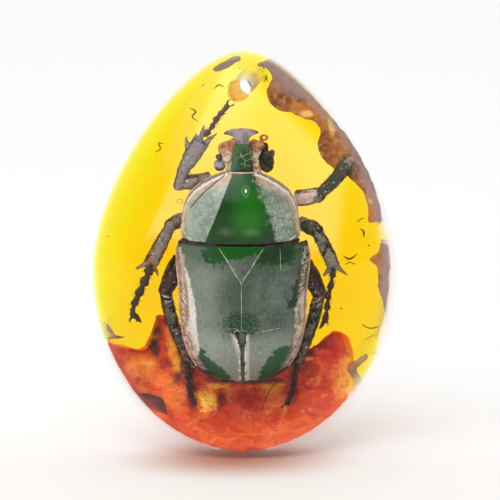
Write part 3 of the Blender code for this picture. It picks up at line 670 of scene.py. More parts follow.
def margin_finish():
    finish = Finish("pale_margin", 0.4)
    finish.start(finish.mottle(0.38, 0.6, 0.9), (226, 200, 174), (164, 132, 114))
    finish.lay(finish.mottle(0.55, 0.7, 2.4), (244, 234, 220))
    return finish.done(finish.grain(3.0), 0.05)


def dark_edge_finish():
    finish = Finish("dark_seam", 0.4)
    finish.start(finish.mottle(0.4, 0.6, 1.2), (34, 40, 30), (70, 58, 50))
    return finish.done(finish.grain(3.0), 0.03)


def leg_finish(name, femur, tibia, tarsus, dark, share, rust):
    """Dry leg: a pale air film in patches, shown only on its front as painted sheen, dark flanks
    as painted shade, and a darker foot.
    """
    finish = Finish(name, 0.34)
    part = finish.given("part")
    film = finish.mix(finish.ramp(part, 0.85, 1.1), femur, tibia)
    # Painted sheen and shade: the film shows only where the surface faces the front, and the
    # flanks are left dark.
    front = finish.ramp(finish.facing(), -0.45, -0.8)
    patchy = finish.mottle(0.62 - share * 0.24, 0.68 - share * 0.2, 0.9, 8.0, 0.8)
    finish.start(finish.both(front, patchy), dark, film)
    streak = finish.ramp(finish.grain(1.4, (1.6, 1.0, 0.8)), 0.46, 0.58)
    finish.lay(streak, dark, 0.5 - share * 0.2)
    rusty = finish.both(finish.mottle(0.5, 0.58, 0.8, 7.0, 1.0), finish.ramp(part, 1.5, 1.85))
    finish.lay(rusty, (190, 106, 28), rust)
    finish.lay(finish.ramp(part, 1.96, 2.05), tarsus, 0.95)
    speck = finish.both(finish.mottle(0.6, 0.66, 2.2, 6.0), finish.ramp(part, 2.0, 1.9))
    finish.lay(speck, (216, 208, 196), 0.7)
    return finish.done(finish.grain(1.8), 0.12)


def body_finish():
    finish = Finish("underside_brown", 0.35)
    finish.start(finish.mottle(0.35, 0.65, 0.5), (84, 44, 26), (46, 26, 18))
    finish.lay(finish.mottle(0.55, 0.7, 1.6), (140, 84, 44))
    return finish.done(finish.grain(2.0), 0.08)


def head_finish():
    finish = Finish("head_green", 0.35)
    finish.start(finish.mottle(0.4, 0.65, 0.7), (28, 72, 30), (70, 82, 30))
    teal = finish.side((-1.0, 0.0, -0.25), -10.9, 0.3, 1.2, 0.3)
    finish.lay(teal, (58, 112, 82), 0.6)
    # Painted sheen: a paler green on the upper part.
    painted_sheen = finish.both(finish.side(UP, 48.6, 0.3, 1.0, 0.6), finish.mottle(0.44, 0.6, 0.9, 5.0))
    finish.lay(painted_sheen, (66, 128, 72), 0.6)
    edge = finish.either(finish.side(RIGHT, 1.12, 0.05, 1.6, 0.08),
                         finish.side(DOWN, -45.95, 0.08, 1.6, 0.1))
    finish.lay(edge, (18, 22, 14), 0.85)
    lines = finish.both(finish.ramp(finish.crackle(0.9), 0.05, 0.02),
                        finish.spot((0.4, -4.9, 47.9), (1.3, 3.0, 1.4), 0.2, 1.0, 0.2))
    finish.lay(lines, (170, 190, 140), 0.7)
    return finish.done(finish.grain(2.2), 0.06)


def plain_mottled(name, one, two, roughness=0.4, scale=1.2, relief=0.05):
    finish = Finish(name, roughness)
    finish.start(finish.mottle(0.38, 0.64, scale), one, two)
    return finish.done(finish.grain(scale * 2), relief)


# The cloud's patches, laid one over another: centre and half size in (x, z), raggedness, softness,
# strength and colour. The darkest ones, along the hind legs and under the tail, are painted shade,
# and the bright yellow ones between them painted glow.
CLOUD_PATCHES = [
    ((-15.6, 18.6), (3.4, 0.9), 0.5, 0.5, 0.9, (250, 176, 50)),
    ((-16.4, 17.2), (3.6, 0.55), 0.5, 0.5, 0.8, (183, 29, 26)),
    ((-14.4, 15.1), (2.8, 1.5), 0.6, 0.45, 0.8, (247, 146, 54)),
    ((-13.4, 15.4), (1.2, 0.45), 0.5, 0.5, 0.8, (255, 188, 84)),
    ((-12.0, 13.4), (1.6, 1.1), 0.6, 0.5, 0.6, (246, 138, 54)),
    ((-9.7, 10.5), (1.5, 1.9), 0.5, 0.5, 0.8, (244, 130, 58)),
    ((-9.9, 4.2), (1.7, 0.8), 0.7, 0.5, 0.8, (246, 164, 96)),
    ((-18.8, 15.8), (1.5, 3.2), 0.4, 0.7, 0.75, (181, 41, 57)),
    ((-16.9, 12.0), (1.7, 2.2), 0.4, 0.7, 0.75, (171, 37, 55)),
    ((-17.7, 14.4), (0.7, 1.5), 0.5, 0.6, 0.7, (144, 26, 52)),
    ((-14.4, 9.6), (1.9, 2.0), 0.4, 0.6, 0.7, (135, 27, 39)),
    # Painted shade along the hind-left leg, with a painted yellow glow between the dark strip and
    # the leg.
    ((-10.7, 18.8), (1.4, 4.2), 0.4, 0.4, 0.9, (203, 36, 15)),
    ((-12.2, 20.0), (0.85, 3.2), 0.4, 0.4, 1.0, (93, 18, 13)),
    ((-12.5, 18.0), (0.85, 1.7), 0.4, 0.4, 1.0, (55, 15, 18)),
    ((-10.4, 20.0), (0.5, 1.6), 0.4, 0.45, 0.9, (255, 150, 30)),
    ((-9.8, 17.8), (0.75, 2.1), 0.5, 0.45, 0.95, (255, 172, 32)),
    ((-9.2, 15.6), (0.7, 1.6), 0.5, 0.45, 0.95, (255, 190, 38)),
    ((-10.8, 15.4), (1.0, 1.0), 0.6, 0.5, 0.85, (144, 15, 28)),
    ((-8.9, 13.2), (1.1, 1.2), 0.6, 0.5, 0.9, (79, 12, 18)),
    ((-7.6, 15.4), (1.1, 3.4), 0.5, 0.5, 0.95, (93, 10, 19)),
    ((-7.1, 10.6), (0.75, 2.8), 0.5, 0.5, 0.9, (90, 14, 16)),
    # Painted shade beside the hind-right leg.
    ((6.9, 12.4), (0.8, 3.2), 0.5, 0.5, 0.85, (135, 18, 21)),
    ((-5.7, 14.4), (0.9, 1.5), 0.5, 0.5, 0.9, (208, 37, 19)),
    ((-4.0, 13.2), (1.7, 0.7), 0.5, 0.5, 0.9, (127, 10, 25)),
    ((-5.2, 10.2), (1.4, 1.7), 0.9, 0.3, 0.95, (250, 170, 52)),
    ((-5.3, 9.8), (0.9, 1.1), 1.1, 0.3, 0.9, (255, 204, 84)),
    ((-3.6, 12.2), (1.7, 0.4), 0.6, 0.4, 0.95, (252, 174, 66)),
    ((-1.6, 11.8), (1.1, 0.35), 0.6, 0.5, 0.8, (242, 132, 60)),
    ((-3.0, 10.5), (0.65, 1.3), 0.6, 0.4, 0.95, (100, 11, 24)),
    ((0.3, 10.5), (1.9, 1.5), 0.5, 0.6, 0.8, (185, 22, 34)),
    ((4.2, 10.4), (1.4, 1.4), 0.5, 0.4, 0.9, (240, 118, 52)),
    ((4.0, 12.1), (1.7, 0.85), 0.5, 0.25, 0.95, (252, 164, 58)),
    ((8.8, 15.4), (1.9, 1.7), 0.9, 0.4, 0.9, (160, 18, 25)),
    ((9.0, 16.2), (0.9, 0.3), 0.9, 0.4, 0.95, (254, 158, 88)),
    ((11.8, 16.0), (1.8, 1.7), 0.6, 0.6, 0.8, (214, 47, 24)),
    ((12.6, 18.4), (1.6, 1.9), 0.4, 0.5, 0.9, (192, 26, 22)),
    ((8.9, 17.5), (1.1, 1.0), 0.5, 0.5, 0.95, (72, 12, 24)),
    ((10.6, 18.3), (1.3, 0.7), 0.5, 0.5, 0.9, (86, 11, 30)),
    ((12.0, 18.9), (0.9, 1.2), 0.4, 0.6, 0.9, (151, 12, 42)),
    ((14.6, 13.0), (1.7, 2.8), 0.6, 0.6, 0.9, (248, 164, 60)),
    ((15.4, 16.0), (1.0, 3.4), 0.4, 0.6, 0.95, (252, 200, 46)),
    ((14.9, 18.6), (0.9, 2.2), 0.4, 0.6, 0.85, (250, 150, 42)),
    ((16.8, 10.6), (1.8, 1.7), 0.5, 0.6, 0.9, (250, 186, 66)),
    ((-17.0, 19.4), (4.0, 0.7), 0.4, 0.6, 0.9, (252, 206, 44)),
    # Painted shade under the tail.
    ((0.8, 12.95), (5.4, 0.62), 0.3, 0.4, 1.0, (118, 18, 30)),
    ((1.4, 13.0), (3.8, 0.45), 0.3, 0.5, 0.9, (96, 16, 44)),
]


def cloud_finish():
    """Drifting orange-red cloud, painted shade about the hind legs and tail, painted glow between.
    """
    finish = Finish("red_cloud", 0.5, Emission_Strength=0.12)
    drift = finish.mottle(0.4, 0.6, 0.12, 7.0, 1.2)
    finish.start(drift, (214, 68, 34), (236, 106, 48))
    mottled = finish.mottle(0.5, 0.62, 0.4, 8.0, 1.0)
    finish.lay(mottled, (172, 34, 26), 0.75)
    bright = finish.mottle(0.55, 0.66, 0.33, 8.0, 1.4)
    finish.lay(bright, (250, 152, 72), 0.75)
    low = finish.side(DOWN, -8.0, 0.5, 0.25, 3.0)
    finish.lay(low, (218, 84, 44), 0.5)
    fine = finish.ramp(finish.noise(1.3, 8.0, 0.5), 0.38, 0.6, 0.72, 1.0)
    for (x, z), (wide, high), ragged, softness, strength, shade in CLOUD_PATCHES:
        patch = finish.spot((x, CLOUD_PATCH_Y, z), (wide, CLOUD_PATCH_DEPTH, high), ragged, 0.8,
                            softness)
        finish.lay(finish.times(patch, fine), shade, strength)
    threads = finish.mottle(0.56, 0.62, 0.9, 8.0, 1.6)
    finish.lay(threads, (130, 22, 28), 0.45)
    # Painted glow: the cloud faintly gives off its own colour.
    finish.feed("Emission Color", finish.laid)
    return finish.done(finish.noise(0.5, 7.0, 0.5), 0.3, 0.3)


def flake_finish():
    """Brown flake with a dark outline of painted shade and painted highlights, lilac-grey where it
    nears the drop's edge, paler there as a painted reflection.
    """
    finish = Finish("brown_flake", 0.4)
    tone = finish.mottle(0.38, 0.62, 0.25, 5.0, 0.5)
    finish.start(tone, (192, 116, 44), (134, 74, 34))
    fine = finish.mottle(0.46, 0.62, 1.1, 7.0, 0.3)
    finish.lay(fine, (206, 146, 76), 0.6)
    dark = finish.mottle(0.56, 0.7, 0.5, 7.0, 0.8)
    finish.lay(dark, (90, 46, 24), 0.8)
    # Painted highlights: golden spots on the flakes.
    bright = finish.either(finish.spot((9.0, 0.4, 53.7), (1.1, 4.0, 0.5), 0.4, 1.0, 0.3),
                           finish.spot((12.9, 0.4, 52.2), (0.7, 4.0, 1.5), 0.4, 1.0, 0.4),
                           finish.spot((18.4, 0.4, 40.0), (0.4, 4.0, 0.4), 0.2, 1.0, 0.5))
    finish.lay(bright, (250, 200, 104), 0.85)
    out_share = finish.marked("out", 0.12, 0.5)
    low = finish.both(finish.side((-1.0, 0.0, -1.0), 1.0, 0.2, 0.8, 0.6), finish.side(DOWN, -16.0))
    finish.lay(low, (92, 50, 46))
    lilac = finish.both(finish.ramp(out_share, 0.78, 0.85),
                        finish.side(DOWN, -44.0, 0.3, 0.5, 3.0), finish.side(RIGHT, 10.0))
    finish.lay(lilac, (168, 140, 148), 0.9)
    # Painted reflection of the drop's rim: paler bands near its outline.
    for start, end, shade in ((0.8, 0.86, (158, 132, 124)), (0.92, 0.98, (206, 192, 186))):
        outer = finish.both(finish.ramp(out_share, start, end), finish.side(UP, 17.5))
        finish.lay(outer, shade, 0.9)
    # Painted shade: darker where the flake's surface turns away from the front.
    rim = finish.both(finish.ramp(finish.facing(), -0.9, -0.6),
                      finish.ramp(out_share, 0.92, 0.86))
    finish.lay(rim, (84, 44, 22), 0.7)
    return finish.done(finish.noise(0.6, 5.0, 0.6), 0.15, 0.4)


# The resin.

# How far the handles of the outline's curve reach from its knots at tip, side and foot, and
# the height towards which a smaller drop shrinks.
TIP_REACH = 9.46
SIDE_REACH_UP, SIDE_REACH_DOWN = 14.82, 19.06
FOOT_REACH, FOOT_REACH_IN = (7.45, 2.83), 4.0
MIDDLE_Z = 30.0
# Closer than this, a vertex lies on the outline's plane, or at the same height as another.
ON_PLANE = 0.0001
SAME_HEIGHT = 0.0008
BORE_EDGE_ROUNDING = 0.22


def turned_drop(name, share=1.0):
    """A drop turned from its outline, flattened front and back, and scaled by a share."""
    wide, low = DROP_HALF_WIDTH, FOOT_HALF_WIDTH
    knots = [[(-TIP_REACH, DROP_HEIGHT), (0.0, DROP_HEIGHT), (TIP_REACH, DROP_HEIGHT)],
             [(wide, WIDEST_Z + SIDE_REACH_UP), (wide, WIDEST_Z),
              (wide, WIDEST_Z - SIDE_REACH_DOWN)],
             [(low + FOOT_REACH[0], FOOT_REACH[1]), (low, 0.0), (low - FOOT_REACH_IN, 0.0)]]
    bpy.ops.curve.primitive_bezier_curve_add(radius=MM)
    outline = fresh(name)
    spline = outline.data.splines[0]
    spline.bezier_points.add(1)
    spline.resolution_u = 44
    for point, places in zip(spline.bezier_points, knots):
        point.handle_left_type = "FREE"
        point.handle_right_type = "FREE"
        point.handle_left, point.co, point.handle_right = (
            Vector((x * share, 0, MIDDLE_Z + (z - MIDDLE_Z) * share)) * MM for x, z in places)
    alone(outline)
    bpy.ops.object.convert(target="MESH")
    body = fresh(name)
    into(body, everything=True)
    bpy.ops.mesh.spin(steps=160, angle=math.tau, center=(0, 0, 0), axis=(0, 0, 1))
    out()
    tidy(body)
    into(body)
    pick_rim()
    bpy.ops.mesh.edge_face_add()
    bpy.ops.mesh.inset(thickness=0.4 * MM)
    pick(body, "VERT", lambda at, normal: at.y < -ON_PLANE)
    stretch((1.0, DROP_FRONT_DEPTH / DROP_HALF_WIDTH, 1.0))
    pick(body, "VERT", lambda at, normal: at.y > ON_PLANE)
    stretch((1.0, DROP_BACK_DEPTH / DROP_HALF_WIDTH, 1.0))
    heights = sorted({round(v.co.z / MM, 3) for v in bmesh.from_edit_mesh(body.data).verts})
    for height in heights:
        if height < WIDEST_Z:
            pick(body, "VERT", lambda at, normal: abs(at.z - height) < SAME_HEIGHT)
            shift(y=-FOOT_FORWARD * (1.0 - height / WIDEST_Z) ** 2)
    bpy.ops.mesh.select_all(action="SELECT")
    bpy.ops.mesh.normals_make_consistent(inside=False)
    out()
    return body


def drill(body, radius):
    """Drill the cord's bore through a body."""
    bpy.ops.mesh.primitive_cylinder_add(vertices=72, radius=radius * MM, depth=50 * MM,
                                        location=[c * MM for c in BORE_PLACE],
                                        rotation=(math.radians(90), 0.0, -BORE_SLANT))
    carve(body, fresh("bore_cutter"))

# Pale floor, warmer near the front, with a painted amber-tinted shadow under the drop for the
# light that comes through it.

def keep_box(body, low, high):
    """Keep what lies inside a box between two corners."""
    middle = [(a + b) / 2 * MM for a, b in zip(low, high)]
    # Painted shadow and caustic: a warm amber patch under the drop.
    bpy.ops.mesh.primitive_cube_add(size=MM, location=middle)
    box = fresh("box_cutter")
    box.scale = [b - a for a, b in zip(low, high)]
    settle(box)
    carve(body, box, "INTERSECT")


def below_cloud_line(drop=0.0):
    """A cutter that fills all below the cloud's upper line, or lower by a drop."""
    line = [(x, z - drop) for x, z in eased(CLOUD_LINE, 3)]
    return plate("cloud_cutter", [(-30, -9), *line, (30, -9)], -30, 30, None, 0.0)


def off_bore_axis(at):
    """Distance of a place from the middle line of the bore."""
    way = Vector((math.sin(BORE_SLANT), math.cos(BORE_SLANT), 0.0))
    return (at - Vector(BORE_PLACE)).cross(way).length


def make_resin_drop():
    body = turned_drop("resin_drop")
    drill(body, BORE_RADIUS)
    into(body)
    bpy.ops.mesh.select_mode(type="EDGE")
    bpy.ops.mesh.edges_select_sharp(sharpness=math.radians(35))
    bpy.ops.mesh.bevel(offset=BORE_EDGE_ROUNDING * MM, segments=3, affect="EDGES")
    out()
    smooth(body, 50)
    wear(body, clear_resin(), bored_resin())
    into(body)
    pick(body, "FACE", lambda at, normal: off_bore_axis(at) < BORE_RADIUS + 0.05)
    body.active_material_index = 1
    bpy.ops.object.material_slot_assign()
    out()
    to_place(body, "resin_clear", "resin_front", "resin_back")


def make_amber():
    """The yellow rear pour, cut off above the cloud so that it doesn't tint it."""
    body = turned_drop("amber_pour", AMBER_SHARE)
    keep_box(body, (-40, AMBER_FRONT_Y, AMBER_LOW_Z), (AMBER_RIGHT_X, 40, 80))
    carve(body, below_cloud_line(AMBER_OVERLAP))
    drill(body, BORE_RADIUS + BORE_CLEARANCE)
    smooth(body, 30)
    wear(body, amber_resin())
    to_place(body, "resin_amber")


def make_cream_edge():
    """The cream tint of the drop's right edge, beyond the amber."""
    body = turned_drop("cream_edge", AMBER_SHARE)
    keep_box(body, (AMBER_RIGHT_X + 0.02, -0.5, 12.0), (40, 40, 50))
    smooth(body, 30)
    wear(body, cream_resin())
    to_place(body, "resin_amber")


# The beetle's back.

# Rows of the shells: height, half width, and the depths of the rim and the crest.
PRONOTUM_ROWS = [
    (34.95, 8.3, -3.2, -7.7), (35.6, 8.8, -3.0, -7.8), (37.5, 8.6, -3.0, -7.9),
    (39.6, 8.45, -3.0, -7.8), (41.2, 7.95, -3.1, -7.5), (42.4, 7.3, -3.2, -7.1),
    (43.7, 5.9, -3.5, -6.6), (44.8, 4.2, -4.0, -6.1), (45.6, 2.5, -4.5, -5.7),
]
ELYTRA_ROWS = [
    (13.4, 3.0, -3.4, -4.9), (14.1, 4.8, -2.9, -5.4), (15.2, 6.25, -2.5, -6.1),
    (17.3, 7.5, -2.2, -6.9), (20.0, 8.4, -2.0, -7.6), (23.0, 8.75, -1.9, -7.9),
    (25.7, 8.8, -1.8, -8.0), (28.5, 8.95, -1.7, -8.05), (31.3, 9.3, -1.6, -8.0),
    (33.2, 9.25, -1.8, -7.8), (34.55, 8.9, -2.4, -7.6),
]


def dome(u):
    """Height of a shell's cross section, from 1 in its middle to 0 at its rims."""
    return (1.0 - min(1.0, abs(u)) ** 2.4) ** 0.62


def between(table, z):
    """The rest of a table's row at a height, between its rows."""
    z = min(max(z, table[0][0]), table[-1][0])
    low, high = next(pair for pair in zip(table, table[1:]) if z <= pair[1][0])
    t = (z - low[0]) / (high[0] - low[0])
    return [a + (b - a) * t for a, b in zip(low[1:], high[1:])]


def back_y(x, z, rows):
    """Depth of the beetle's back at a place, from the rows of a table."""
    half, rim, crest = between(rows, z)
    if rows is ELYTRA_ROWS and x > BEETLE_X:
        half *= ELYTRA_RIGHT
    return rim + (crest - rim) * dome((x - BEETLE_X) / half)


def on_back(points, rows, lift):
    """Points lifted off the beetle's back, from (x, z, radius) along a line."""
    return [(x, back_y(x, z, rows) - lift, z, radius) for x, z, radius in eased(points, 4)]


def domed_sheet(name, rows, columns):
    """A sheet on the beetle's back: a grid, its columns raised to the dome, its rows to size."""
    last = len(rows) - 1
    bpy.ops.mesh.primitive_grid_add(x_subdivisions=columns, y_subdivisions=last, size=2.0,
                                    rotation=(math.radians(90), 0, 0))
    sheet = fresh(name)
    settle(sheet)
    places = [v.co.copy() for v in sheet.data.vertices]
    column_of = [round((place.x + 1) / 2 * columns) for place in places]
    row_of = [round((place.z + 1) / 2 * last) for place in places]
    into(sheet)
    bpy.ops.mesh.select_mode(type="VERT")

    def pick_line(lines, index):
        bpy.ops.mesh.select_all(action="DESELECT")
        shape = bmesh.from_edit_mesh(sheet.data)
        shape.verts.ensure_lookup_table()
        for vertex in shape.verts:
            vertex.select = lines[vertex.index] == index
        shape.select_flush_mode()
        bmesh.update_edit_mesh(sheet.data)

    for column in range(columns + 1):
        even = column / columns * 2 - 1
        spread = math.sin(even * math.pi / 2)
        pick_line(column_of, column)
        bpy.ops.transform.translate(value=(spread - even, -dome(spread), 0))
    for row, (z, half, rim, crest) in enumerate(rows):
        even = row / last * 2 - 1
        pick_line(row_of, row)
        bpy.ops.transform.resize(value=(half * MM, (rim - crest) * MM, 1),
                                 center_override=(0, 0, even))
        bpy.ops.transform.translate(value=(BEETLE_X * MM, rim * MM, z * MM - even))
    bpy.ops.mesh.select_all(action="SELECT")
    bpy.ops.mesh.normals_make_consistent(inside=False)
    out()
    faces_back = sum(face.normal.y for face in sheet.data.polygons) >= 0
    if faces_back:
        into(sheet, everything=True)
        bpy.ops.mesh.flip_normals()
        out()
    apply(sheet, "SUBSURF", levels=3, render_levels=3, boundary_smooth="PRESERVE_CORNERS")
    return sheet


def edge_bead(name, sheet, radius, material, wanted):
    """A round bead along a sheet's border, where a test of (distance from the middle, z) says."""
    bead = copy_of(sheet, Matrix.Identity(4))
    bead.name = name
    into(bead)
    pick_rim()
    bpy.ops.mesh.separate(type="SELECTED")
    out()
    border = [o for o in bpy.context.selected_objects if o is not bead][0]
    remove(bead)
    into(border)
    pick(border, "VERT", lambda at, normal: not wanted(abs(at.x - BEETLE_X), at.z))
    bpy.ops.mesh.delete(type="VERT")
    bpy.ops.mesh.select_mode(type="FACE")
    bpy.ops.mesh.select_all(action="SELECT")
    bpy.ops.mesh.delete(type="ONLY_FACE")
    out()
    alone(border)
    bpy.ops.object.convert(target="CURVE")
    border.data.bevel_depth = radius * MM
    border.data.bevel_resolution = 3
    border.data.use_fill_caps = True
    bpy.ops.object.convert(target="MESH")
    return dressed(named(border, name), material)


def dressed(piece, material):
    """Tidy a piece's mesh, give it its finish and smooth it."""
    tidy(piece)
    wear(piece, material)
    smooth(piece, 60)
    return piece


def thicken(sheet, thickness, round_edge):
    apply(sheet, "SOLIDIFY", thickness=thickness * MM, offset=-1.0)
    apply(sheet, "BEVEL", width=round_edge * MM, segments=2, limit_method="ANGLE",
          angle_limit=math.radians(50), harden_normals=False)
    smooth(sheet, 45)


# Lines on the pronotum, as (x, z, radius) along each: a dark crack and bright glints.
PRONOTUM_CRACK = [(-2.73, 45.29, 0.055), (-4.67, 43.68, 0.055), (-6.44, 41.96, 0.055),
                  (-7.88, 39.98, 0.055)]
PRONOTUM_GLINTS = [
    [(-8.75, 36.5, 0.03), (-8.45, 35.8, 0.11), (-7.9, 35.35, 0.13), (-7.1, 35.2, 0.03)],
    [(8.2, 36.2, 0.03), (7.8, 35.6, 0.1), (7.2, 35.3, 0.12), (6.5, 35.2, 0.03)],
    [(-7.9, 38.5, 0.03), (-7.72, 38.15, 0.09), (-7.5, 37.85, 0.03)],
    [(-8.0, 35.05, 0.04), (-6.9, 35.15, 0.04), (-5.7, 35.2, 0.04)],
    [(5.1, 35.2, 0.04), (6.2, 35.15, 0.04), (7.3, 35.05, 0.04)],
]
# Width of the pronotum's pale band by height.
PRONOTUM_BAND = [(34.9, 0.3), (39.0, 0.45), (41.0, 0.8), (43.5, 1.4), (45.4, 1.3)]
PRONOTUM_BASE_Z = 35.3
# The dark ridge below each of its rear corners: distance from the middle line, and radius.
SHOULDER = [(8.5, 0.3), (8.0, 0.6), (6.8, 0.7), (5.0, 0.6), (3.5, 0.4)]
SHOULDER_Z = 34.75
SHOULDER_DEPTH = 0.75


def in_from_rim(at):
    """How far a place on the pronotum lies in from its rim, as a share of the pale band."""
    rim = [Vector((BEETLE_X + math.copysign(half, at.x - BEETLE_X), z))
           for z, half, *_ in PRONOTUM_ROWS]
    here = Vector((at.x, at.z))
    nearest = 99.0
    for start, end in zip(rim, rim[1:]):
        t = min(1.0, max(0.0, (here - start).dot(end - start) / (end - start).length_squared))
        nearest = min(nearest, (here - start.lerp(end, t)).length)
    return nearest / between(PRONOTUM_BAND, at.z)[0]


def make_shoulder(side, material):
    points = []
    for away, radius in SHOULDER:
        x = BEETLE_X + side * away
        y = back_y(x, SHOULDER_Z, PRONOTUM_ROWS) + SHOULDER_DEPTH
        points.append((x, y, SHOULDER_Z, radius))
    return dressed(limb("shoulder", points), material)


def widen_right(shell, share):
    """Stretch the beetle's right side, which the photo shows a little wider or narrower."""
    into(shell)
    pick(shell, "VERT", lambda at, normal: at.x > BEETLE_X)
    stretch((share, 1.0, 1.0), (BEETLE_X, 0.0, 0.0))
    out()


def make_pronotum(finishes):
    sheet = domed_sheet("pronotum_shell", PRONOTUM_ROWS, 14)
    margin = edge_bead("pronotum_margin", sheet, 0.15, finishes["margin"],
                       lambda away, z: z > PRONOTUM_BASE_Z)
    base = edge_bead("pronotum_base", sheet, 0.11, finishes["seam"],
                     lambda away, z: z < PRONOTUM_BASE_Z)
    thicken(sheet, SHELL_THICKNESS, 0.12)
    mark(sheet, "band", in_from_rim)
    wear(sheet, finishes["pronotum"])
    crack = limb("pronotum_crack", on_back(PRONOTUM_CRACK, PRONOTUM_ROWS, 0.02))
    tidy(crack)
    wear(crack, finishes["seam"])
    glints = [dressed(limb("pronotum_glint", on_back(points, PRONOTUM_ROWS, 0.03)),
                      finishes["film_edge"]) for points in PRONOTUM_GLINTS]
    shoulders = [make_shoulder(side, finishes["seam"]) for side in (-1, 1)]
    shell = join("pronotum_shell", [sheet, margin, base, crack, *glints, *shoulders])
    widen_right(shell, PRONOTUM_RIGHT)
    to_place(shell, "beetle_green", "pronotum")


SCUTELLUM_LINE = {-1: ((-3.95, 34.9), (-0.45, 29.35)), 1: ((3.35, 34.9), (-0.15, 29.35))}


def cut(sheet, place, direction, wanted=None):
    """Cut what is picked of a sheet by an upright plane and drop the side it points to."""
    into(sheet, everything=True)
    if wanted is not None:
        pick(sheet, "FACE", wanted)
    bpy.ops.mesh.bisect(plane_co=Vector(place) * MM, plane_no=direction, clear_outer=True)
    out()


def line_normal(top, bottom, side):
    """Normal in the (x, z) plane of a line, pointing to the given side of it."""
    way = Vector((top[0] - bottom[0], 0, top[1] - bottom[1])).normalized()
    normal = Vector((way.z, 0, -way.x))
    return normal if normal.x * side > 0 else -normal


# Where the elytra's pale bands run: height, then how far from the middle line the rim, the
# outer edge and the inner edge of the white band lie.
PALE_BANDS = {
    -1: [(17.8, 7.75, 6.7, 6.3), (18.2, 7.85, 6.84, 6.2), (19.7, 8.3, 7.46, 6.47),
         (21.9, 8.7, 7.8, 6.68), (24.1, 8.8, 7.74, 6.76), (26.4, 8.88, 7.75, 7.09),
         (29.2, 9.0, 8.15, 7.7), (31.3, 9.3, 8.76, 8.37), (33.4, 9.3, 9.1, 8.75)],
    1: [(16.5, 7.3, 7.1, 6.9), (19.2, 8.2, 8.0, 7.3), (21.2, 8.6, 8.4, 7.6),
        (23.4, 8.8, 8.6, 7.6), (24.9, 8.8, 8.6, 7.5), (27.8, 9.0, 8.8, 7.9),
        (29.2, 9.1, 8.9, 8.3), (31.2, 9.3, 9.1, 8.4), (33.4, 9.3, 9.1, 8.8)],
}
# The furrow between the elytra's hind ends: (x, z) along each edge, and its floor's heights.
FURROW = {-1: [(-1.3, 21.0), (-0.62, 18.4), (-0.5, 13.0)],
          1: [(0.55, 21.0), (0.38, 17.8), (0.36, 13.0)]}
FURROW_FLOOR = (21.3, 20.0, 18.5, 17.0, 15.5, 14.2, 13.4)
# Thin bright lines where the air film breaks, as (x, z, radius) along each.
FILM_LINES = {
    -1: [[(-2.58, 21.58, 0.028), (-1.73, 21.9, 0.028), (-0.87, 21.68, 0.028),
          (-0.5, 21.2, 0.028)]],
    1: [[(1.71, 21.07, 0.028), (2.57, 21.34, 0.028), (3.98, 21.59, 0.028),
         (5.38, 21.8, 0.028)],
        [(5.45, 34.0, 0.028), (5.5, 32.4, 0.028), (5.52, 30.7, 0.028)]],
}
# Beads along an elytron's border: name, radius, finish, and where each runs.
ELYTRON_BEADS = [
    ("margin", 0.2, "margin",
     lambda away, z: away > (2.4 if z < 20 else 4.4) and 15.4 < z < 34.0),
    ("tip", 0.17, "violet", lambda away, z: away > 0.9 and z < 15.8),
    ("seam", 0.035, "film_edge", lambda away, z: away < 3.9 and 20.9 < z < 34.4),
    ("furrow", 0.16, "film_edge", lambda away, z: away < 1.2 and 13.6 < z < 21.1),
    ("front", 0.17, "seam", lambda away, z: away > 3.6 and z > 34.0),
]
ELYTRA_GAP = 0.07
SCUTELLUM_GAP = 0.12


def across_band(side):
    """0 on an elytron's rim, 1 and 2 on the two edges of its white band, more inside it."""
    def value(at):
        rim, outer, inner = between(PALE_BANDS[side], at.z)
        away = abs(at.x - BEETLE_X) / (ELYTRA_RIGHT if side > 0 else 1.0)
        if away > outer:
            return (rim - away) / (rim - outer)
        if away > inner:
            return 1.0 + (outer - away) / (outer - inner)
        return 2.0 + inner - away
    return value


def furrow_floor(material):
    """The dark floor seen between the elytra in the furrow."""
    points = [(-0.1 - 0.02 * (21.2 - z), back_y(BEETLE_X, z, ELYTRA_ROWS) + 0.95, z, 0.75)
              for z in FURROW_FLOOR]
    return dressed(limb("furrow_floor", points), material)


def make_elytron(name, side, whole, finishes):
    sheet = copy_of(whole, Matrix.Identity(4))
    sheet.name = name
    cut(sheet, (BEETLE_X + side * ELYTRA_GAP, 0, 0), (-side, 0, 0))
    top, bottom = ((x + side * SCUTELLUM_GAP, z) for x, z in SCUTELLUM_LINE[side])
    cut(sheet, (top[0], 0, top[1]), line_normal(top, bottom, -side),
        lambda at, normal: at.z > 29.0)
    for high, low in zip(FURROW[side], FURROW[side][1:]):
        cut(sheet, (high[0], 0, high[1]), line_normal(high, low, -side),
            lambda at, normal: low[1] - 0.1 < at.z < high[1] + 0.1)
    edges = [edge_bead(f"{name}_{part}", sheet, radius, finishes[finish], wanted)
             for part, radius, finish, wanted in ELYTRON_BEADS]
    thicken(sheet, SHELL_THICKNESS, 0.1)
    mark(sheet, "across", across_band(side))
    wear(sheet, finishes["elytron"])
    lines = [dressed(limb(f"{name}_line", on_back(points, ELYTRA_ROWS, 0.005)),
                     finishes["film_edge"]) for points in FILM_LINES[side]]
    if side < 0:
        lines.append(furrow_floor(finishes["furrow"]))
    shell = join(name, [sheet, *edges, *lines])
    to_place(shell, "beetle_silver", name.replace("_shell", ""))


